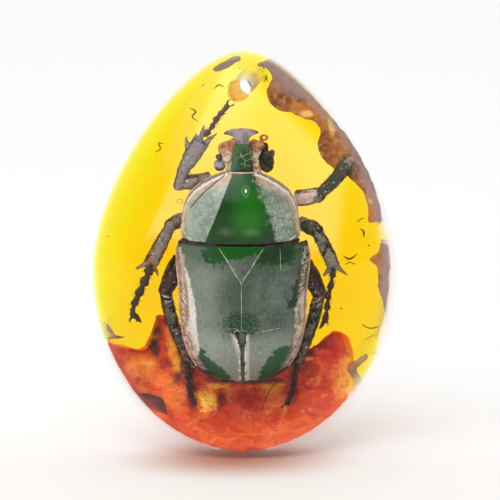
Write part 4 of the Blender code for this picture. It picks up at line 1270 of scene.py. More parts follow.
def make_scutellum(whole, finishes):
    sheet = copy_of(whole, Matrix.Identity(4))
    sheet.name = "scutellum_shell"
    for side in (-1, 1):
        top, bottom = SCUTELLUM_LINE[side]
        cut(sheet, (top[0], 0, top[1]), line_normal(top, bottom, side))
    cut(sheet, (0, 0, 29.0), (0, 0, -1))
    edge = edge_bead("scutellum_edge", sheet, 0.03, finishes["film_edge"],
                     lambda away, z: z < 34.2)
    thicken(sheet, SHELL_THICKNESS, 0.08)
    wear(sheet, finishes["scutellum"])
    to_place(join("scutellum_shell", [sheet, edge]), "beetle_silver", "scutellum")


HAIRS = 300
HAIRS_TOP_Z = 33.0
HAIRS_REACH_DOWN = 17.4


def upright_spike(name, radius, corners):
    """One spike a millimetre long on the origin, for copy_along to carry."""
    bpy.ops.mesh.primitive_cone_add(vertices=corners, radius1=radius * MM, radius2=0, depth=MM,
                                    location=(0, 0, MM / 2))
    spike = fresh(name)
    settle(spike)
    return spike


def copy_along(spike, root, way, sizes):
    """A copy of an upright spike from a root along a way, in its three sizes."""
    turn = way.to_track_quat("Z", "Y").to_matrix().to_4x4()
    return copy_of(spike, Matrix.Translation(root * MM) @ turn @ Matrix.Diagonal((*sizes, 1)))


def make_margin_hairs(name, side, finishes):
    """Pale hairs slanting inwards from the elytron's outer margin, one modelled and copied."""
    draw = random.Random(11 + side)
    hair = upright_spike("one_hair", 0.09, 4)
    hairs = []
    for i in range(HAIRS):
        z = HAIRS_TOP_Z - HAIRS_REACH_DOWN * i / (HAIRS - 1) + draw.uniform(-0.15, 0.15)
        share = (HAIRS_TOP_Z - z) / HAIRS_REACH_DOWN
        edge = between(ELYTRA_ROWS, z)[0] * (ELYTRA_RIGHT if side > 0 else 1.0)
        inset = draw.uniform(0.1, 0.75)
        length = (0.45 + 0.6 * share) * draw.uniform(0.7, 1.3)
        x0 = BEETLE_X + side * (edge - inset)
        x1 = x0 - side * length * 0.9
        z1 = z + length * draw.uniform(-0.75, -0.15)
        root = Vector((x0, back_y(x0, z, ELYTRA_ROWS) - 0.03, z))
        way = Vector((x1, back_y(x1, z1, ELYTRA_ROWS) - 0.06, z1)) - root
        hairs.append(copy_along(hair, root, way, (draw.uniform(0.5, 1.0), 0.5, way.length)))
    remove(hair)
    fringe = join(name, hairs)
    wear(fringe, finishes["hair"])
    to_place(fringe, "beetle_silver")


def make_back(finishes):
    make_pronotum(finishes)
    whole = domed_sheet("elytra", ELYTRA_ROWS, 20)
    widen_right(whole, ELYTRA_RIGHT)
    make_elytron("elytron_left_shell", -1, whole, finishes)
    make_elytron("elytron_right_shell", 1, whole, finishes)
    make_scutellum(whole, finishes)
    remove(whole)
    make_margin_hairs("hairs_left_margin", -1, finishes)
    make_margin_hairs("hairs_right_margin", 1, finishes)


# The beetle's underside.

# Height, half width and depth of the belly at each ring of the trunk.
BODY_ROWS = [
    (43.2, 4.0, 0.6), (41.8, 5.2, 1.6), (39.0, 6.4, 2.5), (35.8, 7.2, 2.9), (34.75, 7.5, 2.95),
    (33.6, 7.2, 3.0), (31.2, 7.0, 3.0), (28.6, 6.9, 2.8), (28.3, 6.8, 2.3), (25.6, 6.6, 2.7),
    (25.3, 6.5, 2.2), (22.6, 6.5, 2.4), (22.3, 6.4, 1.9), (19.6, 6.1, 2.0), (19.3, 6.0, 1.5),
    (16.8, 5.2, 1.2), (15.6, 4.4, 0.3), (14.6, 3.4, -0.9),
]
ELYTRA_TOP_Z = 34.75
BELOW_SHELLS = 1.6


def trunk_ring(z, half, belly):
    """Middle and half sizes of the trunk where it fills the space below the shells."""
    rows = ELYTRA_ROWS if z < ELYTRA_TOP_Z else PRONOTUM_ROWS
    back = back_y(BEETLE_X, z, rows) + BELOW_SHELLS
    return (BEETLE_X, (back + belly) / 2, z), (half, (belly - back) / 2)


def make_body(finishes):
    """Thorax and abdomen: one disc drawn out ring by ring, then smoothed."""
    middle, (half, deep) = trunk_ring(*BODY_ROWS[0])
    bpy.ops.mesh.primitive_circle_add(vertices=20, radius=half * MM, fill_type="NGON",
                                      location=[c * MM for c in middle])
    trunk = fresh("beetle_underside")
    settle(trunk)
    into(trunk, everything=True)
    stretch((1.0, deep / half, 1.0), middle)
    for row in BODY_ROWS[1:]:
        new_middle, (new_half, new_deep) = trunk_ring(*row)
        bpy.ops.mesh.extrude_region_move(TRANSFORM_OT_translate={
            "value": (Vector(new_middle) - Vector(middle)) * MM})
        stretch((new_half / half, new_deep / deep, 1.0), new_middle)
        middle, half, deep = new_middle, new_half, new_deep
    out()
    tidy(trunk)
    apply(trunk, "SUBSURF", levels=2, render_levels=2)
    smooth(trunk, 60)
    wear(trunk, finishes["body"])
    to_place(trunk, "beetle_brown", "body")


# The legs, left ones at -X: (x, y, z, radius) along each segment, and spines as (root, tip).

LEGS = {
    "leg_front_left": {
        "femur": [(-4.6, 0.2, 43.8, 1.0), (-6.4, -0.1, 43.3, 1.1), (-7.7, -0.7, 43.2, 1.2),
                  (-9.1, -1.2, 43.1, 0.9)],
        "tibia": [(-9.35, -1.3, 42.6, 0.75), (-8.6, -1.6, 45.2, 0.95),
                  (-7.3, -1.9, 47.8, 1.3), (-6.1, -2.1, 49.9, 1.35)],
        "tarsus": [(-5.6, -2.2, 50.6, 0.5), (-4.7, -2.3, 52.0, 0.5), (-3.6, -2.4, 53.9, 0.5),
                   (-2.2, -2.4, 55.6, 0.4)],
        "spines": [((-8.0, -1.8, 48.2), (-8.35, -2.0, 50.7)),
                   ((-7.1, -2.0, 49.4), (-6.9, -2.1, 51.2)),
                   ((-6.3, -2.1, 50.0), (-5.7, -2.2, 52.5)),
                   ((-5.6, -2.0, 49.4), (-3.8, -2.2, 51.2))],
    },
    "leg_front_right": {
        "femur": [(7.4, -0.4, 40.7, 1.25), (9.2, -0.7, 40.9, 1.3), (10.7, -1.0, 41.4, 1.15)],
        "tibia": [(10.6, -1.0, 41.1, 0.9), (12.6, -1.2, 43.0, 1.0), (14.4, -1.3, 45.1, 1.1),
                  (15.1, -1.2, 46.4, 1.0)],
        "tarsus": [(15.0, -1.2, 46.3, 0.65), (16.1, -1.0, 46.9, 0.7), (17.3, -0.6, 46.1, 0.6),
                   (18.2, -0.2, 44.6, 0.4)],
        "spines": [((14.6, -1.2, 44.6), (16.0, -1.1, 44.9)),
                   ((14.9, -1.2, 46.2), (14.6, -1.3, 47.6))],
    },
    "leg_middle_left": {
        "femur": [(-8.2, 1.5, 37.2, 1.0), (-9.5, 0.6, 36.9, 1.05), (-10.4, -0.1, 36.4, 0.95)],
        "tibia": [(-10.4, -0.2, 36.4, 0.8), (-11.8, -0.4, 33.6, 1.0), (-13.2, -0.6, 30.9, 1.05)],
        "tarsus": [(-13.2, -0.6, 30.9, 0.65), (-13.9, -0.7, 28.7, 0.72),
                   (-15.1, -0.9, 26.2, 0.68), (-15.9, -1.0, 24.1, 0.55),
                   (-15.9, -1.0, 22.7, 0.42)],
        "spines": [((-13.0, -0.6, 31.4), (-15.6, -0.7, 29.9)),
                   ((-13.0, -0.5, 30.9), (-12.1, -0.5, 29.0)),
                   ((-15.8, -1.0, 23.1), (-14.6, -1.0, 21.9))],
    },
    "leg_middle_right": {
        "femur": [(7.9, 1.5, 36.6, 1.0), (9.3, 0.6, 36.2, 1.1), (10.4, 0.0, 35.7, 1.05)],
        "tibia": [(10.4, -0.1, 35.6, 0.85), (11.8, -0.4, 32.9, 1.0), (12.9, -0.6, 30.4, 0.95)],
        "tarsus": [(12.9, -0.6, 30.4, 0.5), (12.6, -0.7, 28.3, 0.5), (12.1, -0.9, 26.0, 0.5),
                   (11.9, -1.0, 23.4, 0.45), (11.7, -1.0, 22.3, 0.4)],
        "spines": [((12.7, -0.6, 30.9), (14.9, -0.6, 29.1)),
                   ((12.7, -0.5, 30.4), (11.3, -0.5, 29.0)),
                   ((11.8, -1.0, 22.7), (10.9, -1.0, 21.0))],
    },
    "leg_hind_left": {
        "femur": [(-8.7, 2.0, 31.3, 1.2), (-9.8, 1.5, 29.2, 1.35), (-10.9, 0.9, 26.9, 1.05)],
        "tibia": [(-11.0, 0.8, 26.6, 0.9), (-10.2, 0.8, 22.6, 0.95), (-8.8, 0.8, 18.6, 0.85),
                  (-7.8, 0.8, 15.9, 0.9)],
        "tarsus": [(-7.8, 0.8, 15.9, 0.5), (-7.7, 0.8, 13.6, 0.5), (-7.5, 0.7, 11.4, 0.45),
                   (-6.6, 0.7, 9.2, 0.4)],
        "spines": [((-7.9, 0.8, 16.4), (-9.0, 0.8, 14.6)),
                   ((-7.7, 0.8, 16.2), (-6.7, 0.8, 14.5))],
    },
    "leg_hind_right": {
        "femur": [(8.2, 2.0, 30.9, 1.2), (9.4, 1.5, 28.8, 1.35), (10.6, 0.9, 26.6, 1.05)],
        "tibia": [(10.7, 0.8, 26.3, 0.9), (9.9, 0.8, 22.4, 0.95), (8.6, 0.8, 18.4, 0.85),
                  (7.5, 0.8, 15.8, 0.9)],
        "tarsus": [(7.5, 0.8, 15.8, 0.5), (7.2, 0.8, 13.5, 0.5), (6.8, 0.7, 11.5, 0.45),
                   (6.0, 0.7, 9.4, 0.4)],
        "spines": [((7.7, 0.8, 16.3), (8.7, 0.8, 14.5)),
                   ((7.4, 0.8, 16.1), (6.5, 0.8, 14.4))],
    },
}


# White glints on the legs, as (x, y, z, radius) along each.
LEG_GLINTS = {
    "leg_front_left": [
        [(-8.34, -2.1, 43.5, 0.06), (-8.17, -2.2, 43.67, 0.2), (-8.0, -2.1, 43.84, 0.06)]],
    "leg_middle_left": [
        [(-9.8, -0.4, 37.3, 0.03), (-9.65, -0.5, 36.9, 0.06), (-9.55, -0.45, 36.4, 0.03)],
        [(-9.4, -0.4, 37.6, 0.03), (-9.25, -0.5, 37.1, 0.06), (-9.15, -0.45, 36.7, 0.03)]],
    "leg_hind_left": [
        [(-11.6, 0.1, 26.2, 0.03), (-11.1, -0.1, 25.9, 0.09), (-10.4, -0.1, 25.8, 0.03)],
        [(-11.2, 0.0, 25.3, 0.03), (-10.7, -0.15, 25.1, 0.08), (-10.1, -0.05, 25.4, 0.03)]],
    "leg_hind_right": [
        [(9.9, -0.05, 25.0, 0.03), (10.5, -0.15, 25.3, 0.09), (11.3, 0.05, 26.0, 0.03)],
        [(10.1, -0.05, 24.4, 0.03), (10.6, -0.1, 24.6, 0.07), (11.1, 0.1, 24.9, 0.03)]],
}


def limb(name, points):
    """A tapered round limb: a smooth path given a width at each point, closed at both ends."""
    bpy.ops.curve.primitive_nurbs_path_add(radius=MM)
    path = fresh(name)
    path.data.splines.clear()
    path.data.dimensions = "3D"
    spline = path.data.splines.new("POLY")
    spline.points.add(len(points) - 1)
    for knot, point in zip(spline.points, points):
        knot.co = (point[0] * MM, point[1] * MM, point[2] * MM, 1.0)
        knot.radius = point[3]
    path.data.bevel_depth = MM
    path.data.bevel_resolution = 3
    path.data.use_fill_caps = True
    alone(path)
    bpy.ops.object.convert(target="MESH")
    return fresh(name)


def eased(points, steps=5):
    """More points along a row of points, on a smooth curve through them."""
    result = []
    count = len(points)
    for i in range(count - 1):
        p0, p1 = points[max(i - 1, 0)], points[i]
        p2, p3 = points[i + 1], points[min(i + 2, count - 1)]
        for step in range(steps):
            t = step / steps
            result.append(tuple(
                0.5 * (2 * b + (c - a) * t + (2 * a - 5 * b + 4 * c - d) * t * t
                       + (3 * b - a - 3 * c + d) * t**3)
                for a, b, c, d in zip(p0, p1, p2, p3)))
    result.append(points[-1])
    return result


def along(path, share):
    """The point of a path at a share of its length."""
    lengths = [(Vector(b[:3]) - Vector(a[:3])).length for a, b in zip(path, path[1:])]
    rest = share * sum(lengths)
    for a, b, length in zip(path, path[1:], lengths):
        if rest <= length or b is path[-1]:
            break
        rest -= length
    t = min(1.0, rest / length)
    return tuple(p + (q - p) * t for p, q in zip(a, b))


def beads(path, count):
    """The foot's joints, each narrow where it starts and flared where it ends."""
    result = []
    for i in range(count):
        for place, width in ((0.0, 0.5), (0.3, 0.72), (0.8, 1.05), (0.93, 0.8)):
            x, y, z, radius = along(path, (i + place) / count)
            result.append((x, y, z, radius * width))
    return result


SPINE_TAPER = ((0.0, 0.5), (0.4, 0.38), (0.8, 0.19), (1.0, 0.06))
# A claw's points: how far ahead of the foot's end, how far to its side, and the radius.
CLAW = ((-1.0, 0.0, 0.2), (1.4, 0.4, 0.17), (3.0, 0.55, 0.13), (4.0, 0.3, 0.09))
LEG_VOXEL = 0.11


def part_of_leg(segments):
    """Where a place lies along the leg: 0 to 1 on the femur, to 2 on the tibia, then the foot."""
    points = []
    for number, part in enumerate(("femur", "tibia", "tarsus")):
        path = eased(segments[part], 8)
        points += [(point[:3], number + i / len(path)) for i, point in enumerate(path)]
    for root, tip in segments["spines"]:
        if math.dist(root, segments["tarsus"][-1][:3]) > 2.0:
            points += [(tuple(Vector(root).lerp(Vector(tip), t)), 1.9) for t in (0.3, 0.6, 1.0)]
    nearest = kdtree.KDTree(len(points))
    for i, point in enumerate(points):
        nearest.insert(point[0], i)
    nearest.balance()
    return lambda at: points[nearest.find(at)[1]][1]


def make_bristles(name, segments, material):
    """Short bristles along a leg's tibia and foot, one modelled and copied."""
    draw = random.Random(name)
    bristle = upright_spike("one_bristle", 0.06, 5)
    bristles = []
    for part, count, longest in (("tibia", 26, 1.0), ("tarsus", 22, 0.7)):
        path = segments[part]
        for i in range(count):
            share = (i + draw.random()) / count
            x, y, z, radius = along(path, share)
            ahead = Vector(along(path, min(1.0, share + 0.05))[:3]) - Vector((x, y, z))
            if ahead.length < 0.01:
                continue
            ahead.normalize()
            flank = Vector((ahead.z, 0, -ahead.x)) * draw.choice((-1, 1))
            out_way = (flank + Vector((0, draw.uniform(-0.7, 0.4), 0))).normalized()
            root = Vector((x, y, z)) + out_way * radius * 0.75
            way = (out_way + ahead * draw.uniform(0.5, 1.3)).normalized()
            sizes = (1, 1, longest * draw.uniform(0.5, 1.0))
            bristles.append(copy_along(bristle, root, way, sizes))
    remove(bristle)
    fringe = join(name, bristles)
    settle(fringe)
    wear(fringe, material)
    return fringe


def make_leg(name, segments, material, bristle_material, glint_material):
    """One leg: femur, tibia, jointed foot with two claws, and spines, grown into one skin."""
    pieces = [limb(f"{name}_femur", eased(segments["femur"])),
              limb(f"{name}_tibia", eased(segments["tibia"])),
              limb(f"{name}_tarsus", beads(eased(segments["tarsus"], 3), 5))]
    for root, tip in segments["spines"]:
        root, tip = Vector(root), Vector(tip)
        pieces.append(limb(f"{name}_spine",
                           [(*root.lerp(tip, t), radius) for t, radius in SPINE_TAPER]))
    knee, joint = segments["tibia"][0], segments["femur"][-1]
    radius = max(knee[3], joint[3]) * 0.98
    middle = [(a + b) / 2 for a, b in zip(knee[:3], joint[:3])]
    pieces.append(lump(f"{name}_knee", middle, (radius, radius, radius), None))
    end = Vector(segments["tarsus"][-1][:3])
    way = (end - Vector(segments["tarsus"][-2][:3])).normalized()
    flank = Vector((way.z, 0, -way.x))
    for side in (-1, 1):
        claw = [(*(end + way * 0.2 * ahead + flank * side * bend), radius)
                for ahead, bend, radius in CLAW]
        pieces.append(limb(f"{name}_claw", eased(claw, 3)))
    leg = join(f"{name}_dry", pieces)
    reskin(leg, LEG_VOXEL)
    roughen(leg, 0.9, 0.35)
    relax(leg, 0.5, 2)
    smooth(leg, 80)
    mark(leg, "part", part_of_leg(segments))
    wear(leg, material)
    bristles = make_bristles(f"{name}_bristles", segments, bristle_material)
    glints = [dressed(limb(f"{name}_glint", eased(points, 3)), glint_material)
              for points in LEG_GLINTS.get(name, [])]
    to_place(join(f"{name}_dry", [leg, bristles, *glints]), "beetle_leg", name)


def make_legs():
    grey, brown, black = (150, 138, 138), (74, 34, 20), (40, 32, 28)
    front_left = leg_finish("leg_front_grey", (200, 186, 178), grey, brown,
                            (80, 70, 70), 1.4, 0.0)
    front_right = leg_finish("leg_front_pink", (216, 190, 176), (66, 74, 52),
                             (150, 130, 124), (48, 46, 38), 1.5, 0.1)
    middle_left = leg_finish("leg_middle_grey", (160, 144, 134), (146, 136, 126),
                             (48, 30, 16), (48, 38, 34), 1.1, 0.9)
    middle_right = leg_finish("leg_middle_green", (96, 100, 90), (136, 132, 118),
                              (44, 22, 12), (36, 36, 30), 0.9, 0.5)
    hind = leg_finish("leg_hind_brown", (84, 40, 22), (112, 104, 92), (44, 34, 30),
                      (24, 20, 18), 0.7, 0.4)
    wears = {"leg_front_left": front_left, "leg_front_right": front_right,
             "leg_middle_left": middle_left, "leg_middle_right": middle_right,
             "leg_hind_left": hind, "leg_hind_right": hind}
    bristle = plain_mottled("leg_bristle", (52, 34, 24), black, 0.4, 0.8, 0.01)
    glint = plain_mottled("leg_glint", (236, 232, 226), (196, 190, 184), 0.25, 1.5, 0.02)
    for name, segments in LEGS.items():
        make_leg(name, segments, wears[name], bristle, glint)


# The head.

def lump(name, centre, half_size, material, roundness=3):
    """A rounded lump: a cube subdivided towards a ball and stretched to its sizes."""
    bpy.ops.mesh.primitive_cube_add(size=2 * MM, location=[c * MM for c in centre])
    piece = fresh(name)
    piece.scale = half_size
    settle(piece)
    apply(piece, "SUBSURF", levels=roundness, render_levels=roundness)
    extent = [max(abs(v.co[i] / MM - centre[i]) for v in piece.data.vertices) for i in range(3)]
    into(piece, everything=True)
    stretch([half / reach for half, reach in zip(half_size, extent)], centre)
    out()
    smooth(piece, 60)
    wear(piece, material)
    return piece


def plate(name, outline, front, back, material, edge=0.12):
    """A flat piece between two depths from an (x, z) outline, with rounded edges."""
    bpy.ops.curve.primitive_bezier_circle_add(radius=MM, rotation=(math.radians(90), 0, 0),
                                              location=(0, (front + back) / 2 * MM, 0))
    piece = fresh(name)
    piece.data.splines.clear()
    piece.data.dimensions = "2D"
    piece.data.fill_mode = "BOTH"
    spline = piece.data.splines.new("POLY")
    spline.points.add(len(outline) - 1)
    for knot, (x, z) in zip(spline.points, outline):
        knot.co = (x * MM, z * MM, 0.0, 1.0)
    spline.use_cyclic_u = True
    piece.data.bevel_depth = edge * MM
    piece.data.bevel_resolution = 2
    piece.data.extrude = ((back - front) / 2 - edge) * MM
    alone(piece)
    bpy.ops.object.convert(target="MESH")
    settle(piece)
    tidy(piece)
    smooth(piece, 50)
    wear(piece, material)
    return piece


HEAD_VOXEL = 0.11
# The head's parts: finish, front and back depth, rounds of smoothing, and (x, z) outline.
HEAD_PARTS = {
    "horn": ("horn", -4.95, -4.25, 2, [
        (-2.95, 51.6), (-2.47, 52.0), (-1.48, 52.35), (-0.11, 52.45), (1.11, 52.3),
        (1.87, 52.1), (2.4, 51.75), (1.87, 51.6), (1.33, 51.35), (0.95, 50.95), (0.8, 50.5),
        (0.85, 49.6), (-0.95, 49.6), (-0.91, 50.5), (-1.17, 50.9), (-1.63, 51.2),
        (-2.16, 51.4)]),
    "face": ("head", -5.25, -2.6, 3, [
        (-1.3, 50.0), (1.15, 50.0), (1.3, 48.1), (1.45, 45.1), (-1.85, 45.1), (-1.7, 47.7),
        (-1.5, 49.3)]),
    "cheek_left": ("orange", -4.6, -2.6, 5, [
        (-0.9, 50.3), (-1.45, 50.65), (-2.1, 50.2), (-3.3, 49.8), (-3.7, 49.1), (-3.6, 48.3),
        (-2.9, 47.9), (-1.5, 48.2)]),
    "cheek_left_low": ("cream", -4.75, -2.6, 3, [
        (-3.2, 48.5), (-2.3, 48.9), (-1.6, 48.6), (-1.65, 45.2), (-2.5, 45.2), (-2.6, 46.1),
        (-3.0, 47.4)]),
    "cheek_right": ("orange", -4.5, -2.6, 4, [
        (1.0, 50.15), (1.6, 50.4), (2.2, 50.1), (2.8, 50.3), (3.1, 49.6), (2.7, 48.9),
        (1.9, 48.9), (1.1, 48.3)]),
    "cheek_right_low": ("cream", -4.8, -2.6, 3, [
        (1.25, 48.9), (2.1, 49.3), (2.7, 48.8), (2.2, 47.7), (2.45, 46.8), (2.2, 46.3),
        (2.6, 45.3), (1.4, 45.1)]),
    "club_right": ("club", -4.3, -2.4, 4, [
        (3.1, 48.9), (3.6, 48.6), (4.3, 48.1), (4.5, 46.8), (4.3, 45.8), (3.45, 45.3),
        (2.6, 45.8), (2.25, 47.0), (2.6, 48.1)]),
}


def pad(name, outline, front, back, rounds, material):
    """A soft-edged piece grown from an outline."""
    piece = plate(name, outline, front, back, None, 0.0)
    reskin(piece, HEAD_VOXEL)
    relax(piece, 0.7, rounds)
    roughen(piece, 0.7, 0.3)
    smooth(piece, 80)
    wear(piece, material)
    return piece


def horn_finish():
    """Lilac-grey horn with a brown upper rim and dark tips."""
    finish = Finish("horn_grey", 0.4)
    finish.start(finish.mottle(0.4, 0.62, 0.8, 6.0), (172, 158, 160), (120, 104, 110))
    tips = finish.either(finish.side((-1.0, 0.0, 0.2), 12.75, 0.1, 1.5, 0.25),
                         finish.side((1.0, 0.0, 0.2), 12.2, 0.1, 1.5, 0.25))
    finish.lay(tips, (58, 44, 42))
    brow = finish.both(finish.spot((-0.25, -4.6, 50.3), (3.2, 3.0, 2.3), 0.05, 1.5, 0.04),
                       finish.side(UP, 50.6, 0.0))
    rim = finish.both(finish.side(UP, 51.3, 0.1, 1.0, 0.2), finish.ramp(brow, 0.9, 0.1))
    finish.lay(rim, (96, 66, 52), 0.6)
    return finish.done(finish.grain(2.2), 0.05)


def make_head(finishes):
    skins = {
        "horn": horn_finish(), "head": finishes["head"],
        "orange": plain_mottled("cheek_orange", (214, 150, 100), (150, 78, 40), 0.4, 1.3, 0.1),
        "cream": plain_mottled("cheek_cream", (240, 214, 180), (140, 96, 70), 0.4, 1.8, 0.1),
        "ball": plain_mottled("eye_grey", (176, 170, 168), (76, 70, 74), 0.25, 1.3),
        "purple": plain_mottled("ball_purple", (92, 72, 84), (60, 44, 50), 0.3, 0.8),
        "club": plain_mottled("club_dark", (24, 38, 18), (84, 72, 60), 0.25, 1.7, 0.15),
        "brown": plain_mottled("club_brown", (66, 38, 26), (40, 26, 22), 0.3, 0.9),
        "olive": plain_mottled("club_olive", (92, 84, 74), (84, 62, 80), 0.3, 0.9),
    }
    pieces = [pad(name, outline, front, back, rounds, skins[skin])
              for name, (skin, front, back, rounds, outline) in HEAD_PARTS.items()]
    pieces += [
        lump("skull", (-0.1, -1.6, 47.7), (3.3, 1.6, 2.1), finishes["body"]),
        lump("eye_left", (-3.47, -3.3, 46.4), (0.86, 0.95, 0.95), skins["ball"]),
        lump("ball_left", (-3.62, -3.6, 47.75), (0.48, 0.5, 0.42), skins["purple"]),
        lump("club_top", (3.2, -3.6, 49.2), (0.5, 0.7, 0.8), skins["brown"]),
        lump("club_side", (4.2, -3.6, 48.3), (0.42, 0.6, 0.6), skins["olive"]),
        lump("club_upper", (3.2, -4.1, 47.9), (0.62, 0.55, 0.66), skins["club"]),
        lump("club_middle", (3.9, -4.1, 46.9), (0.6, 0.5, 0.62), skins["club"]),
        lump("club_lower", (3.2, -4.15, 46.2), (0.66, 0.5, 0.6), skins["club"]),
    ]
    to_place(join("head_dry", pieces), "beetle_green", "head")


# The cloud, the flakes and the small things in the resin.

CLOUD_LINE = [
    (-25.0, 18.6), (-19.5, 18.4), (-16.5, 17.8), (-14.0, 17.5), (-12.7, 19.6), (-11.7, 22.4),
    (-10.4, 21.9), (-8.5, 18.8), (-5.0, 17.0), (4.0, 16.8), (8.5, 17.4), (10.8, 19.0),
    (12.8, 20.2), (14.2, 19.4), (14.9, 17.2), (15.3, 14.0), (15.8, 11.2), (17.0, 9.4),
    (20.0, 8.6), (25.0, 8.4),
]
CLOUD_TOE_Z = 12.0
CLOUD_TOE_SLOPE = 0.62
CLOUD_RIM_BAND = 0.25
CLOUD_BOWL = (0.7, 0.92)
CLOUD_LUMPS_REACH = 0.86


def outline_share(x, z):
    """How far out a place lies, from 0 in the drop's middle to 1 on its outline."""
    high = z > WIDEST_Z
    reach = (DROP_HEIGHT - WIDEST_Z) if high else WIDEST_Z
    return math.hypot(x / DROP_HALF_WIDTH, (z - WIDEST_Z) / reach)


def eased_step(value, low, high):
    """0 below a low and 1 above a high value, with a smooth rise between them."""
    t = min(1.0, max(0.0, (value - low) / (high - low)))
    return t * t * (3 - 2 * t)


def make_cloud():
    """The cloud: the drop's blunt end, hollowed to a bowl behind the beetle, with lumps."""
    body = turned_drop("red_cloud_mass", CLOUD_SHARE)
    keep_box(body, (-40, CLOUD_RIM_Y, -10), (40, 40, 40))
    carve(body, below_cloud_line(), "INTERSECT")
    reskin(body, 0.4)
    for vertex in body.data.vertices:
        x, y, z = vertex.co / MM
        if y < CLOUD_RIM_Y + CLOUD_RIM_BAND:
            inner = 1.0 - eased_step(outline_share(x, z), *CLOUD_BOWL)
            vertex.co.y += (CLOUD_FRONT_Y - CLOUD_RIM_Y) * inner * MM
            vertex.co.y -= max(0.0, CLOUD_TOE_Z - z) * CLOUD_TOE_SLOPE * MM
    reskin(body, 0.32)

    def inward(at, normal):
        return ((normal.y < -0.3 or normal.z > 0.5)
                and outline_share(at.x, at.z) < CLOUD_LUMPS_REACH)

    roughen(body, 4.0, 2.0, inward)
    roughen(body, 1.6, 0.5, inward)
    relax(body, 0.5, 4)
    smooth(body, 80)
    wear(body, cloud_finish())
    to_place(body, "cloud_red", "red_cloud")


FLAKES = {
    "flake_upper_right": [
        (2.0, 61.6), (2.9, 61.2), (3.6, 60.7), (4.1, 59.8), (4.1, 58.9), (3.6, 58.2),
        (3.3, 57.3), (3.4, 56.4), (3.9, 55.3), (4.9, 54.3), (5.9, 54.0), (7.0, 53.8),
        (8.8, 52.8), (9.8, 52.6), (10.7, 51.8), (11.1, 50.8), (10.7, 49.5), (10.6, 48.4),
        (11.0, 47.3), (11.8, 46.1), (13.2, 44.9), (14.0, 44.5), (15.2, 43.7), (16.0, 42.9),
        (16.9, 41.8), (17.5, 40.7), (17.9, 39.0), (17.9, 37.0), (19.2, 36.8), (21.9, 37.0),
        (21.6, 40.5), (19.8, 45.3), (17.0, 50.2), (13.6, 54.4), (10.0, 58.2), (6.6, 61.0),
        (4.0, 62.5)],
    "flake_right_edge": [
        (20.2, 34.0), (19.4, 32.4), (18.1, 31.3), (18.7, 30.6), (19.2, 29.9), (19.4, 26.6),
        (20.1, 24.8), (20.4, 22.9), (20.8, 18.7), (21.6, 18.6), (22.6, 22.0), (23.2, 26.0),
        (23.4, 30.0), (23.0, 33.6)],
    "flake_left_edge": [(-21.9, 21.6), (-20.6, 21.9), (-19.4, 21.1), (-18.7, 20.3), (-18.3, 19.7),
                        (-16.9, 19.5), (-18.3, 19.2), (-20.3, 19.2), (-21.9, 19.4)],
    "flake_lower_right": [
        (17.5, 17.0), (16.1, 16.0), (14.9, 15.5), (14.8, 14.5), (15.6, 13.2), (16.2, 12.1),
        (16.9, 12.7), (16.3, 13.7), (16.0, 14.6), (16.5, 15.2), (17.6, 16.3)],
    "flake_lower_left": [(-17.2, 11.6), (-15.6, 11.1), (-13.6, 11.0), (-11.9, 10.4),
                         (-11.3, 9.2), (-11.1, 7.8), (-12.0, 7.0), (-13.2, 6.6),
                         (-15.0, 7.9), (-16.4, 9.6)],
    "flake_top_left": [(-4.4, 60.6), (-3.7, 61.3), (-2.9, 61.9), (-1.7, 62.6), (-0.6, 62.9),
                       (-0.5, 62.3), (-1.3, 61.9), (-2.0, 61.2), (-2.7, 60.9), (-3.5, 60.5)],
}
FLAKE_DEPTHS = (-0.15, 0.75)
FLAKE_VOXEL = 0.13
LOW_FLAKE_FORWARD = -2.4


def make_flakes():
    material = flake_finish()
    front, back = FLAKE_DEPTHS
    for name, outline in FLAKES.items():
        closed = eased([outline[-1], *outline, outline[0], outline[1]], 3)[3:-6]
        flake = plate(f"{name}_film", closed, front, back, material, 0.0)
        reskin(flake, FLAKE_VOXEL)
        roughen(flake, 1.3, 0.4)
        relax(flake, 0.5, 3)
        mark(flake, "out", lambda at: outline_share(at.x, at.z))
        if name == "flake_lower_left":
            flake.location.y = LOW_FLAKE_FORWARD * MM
            settle(flake)
        smooth(flake, 60)
        wear(flake, material)
        to_place(flake, "flake_brown", name)


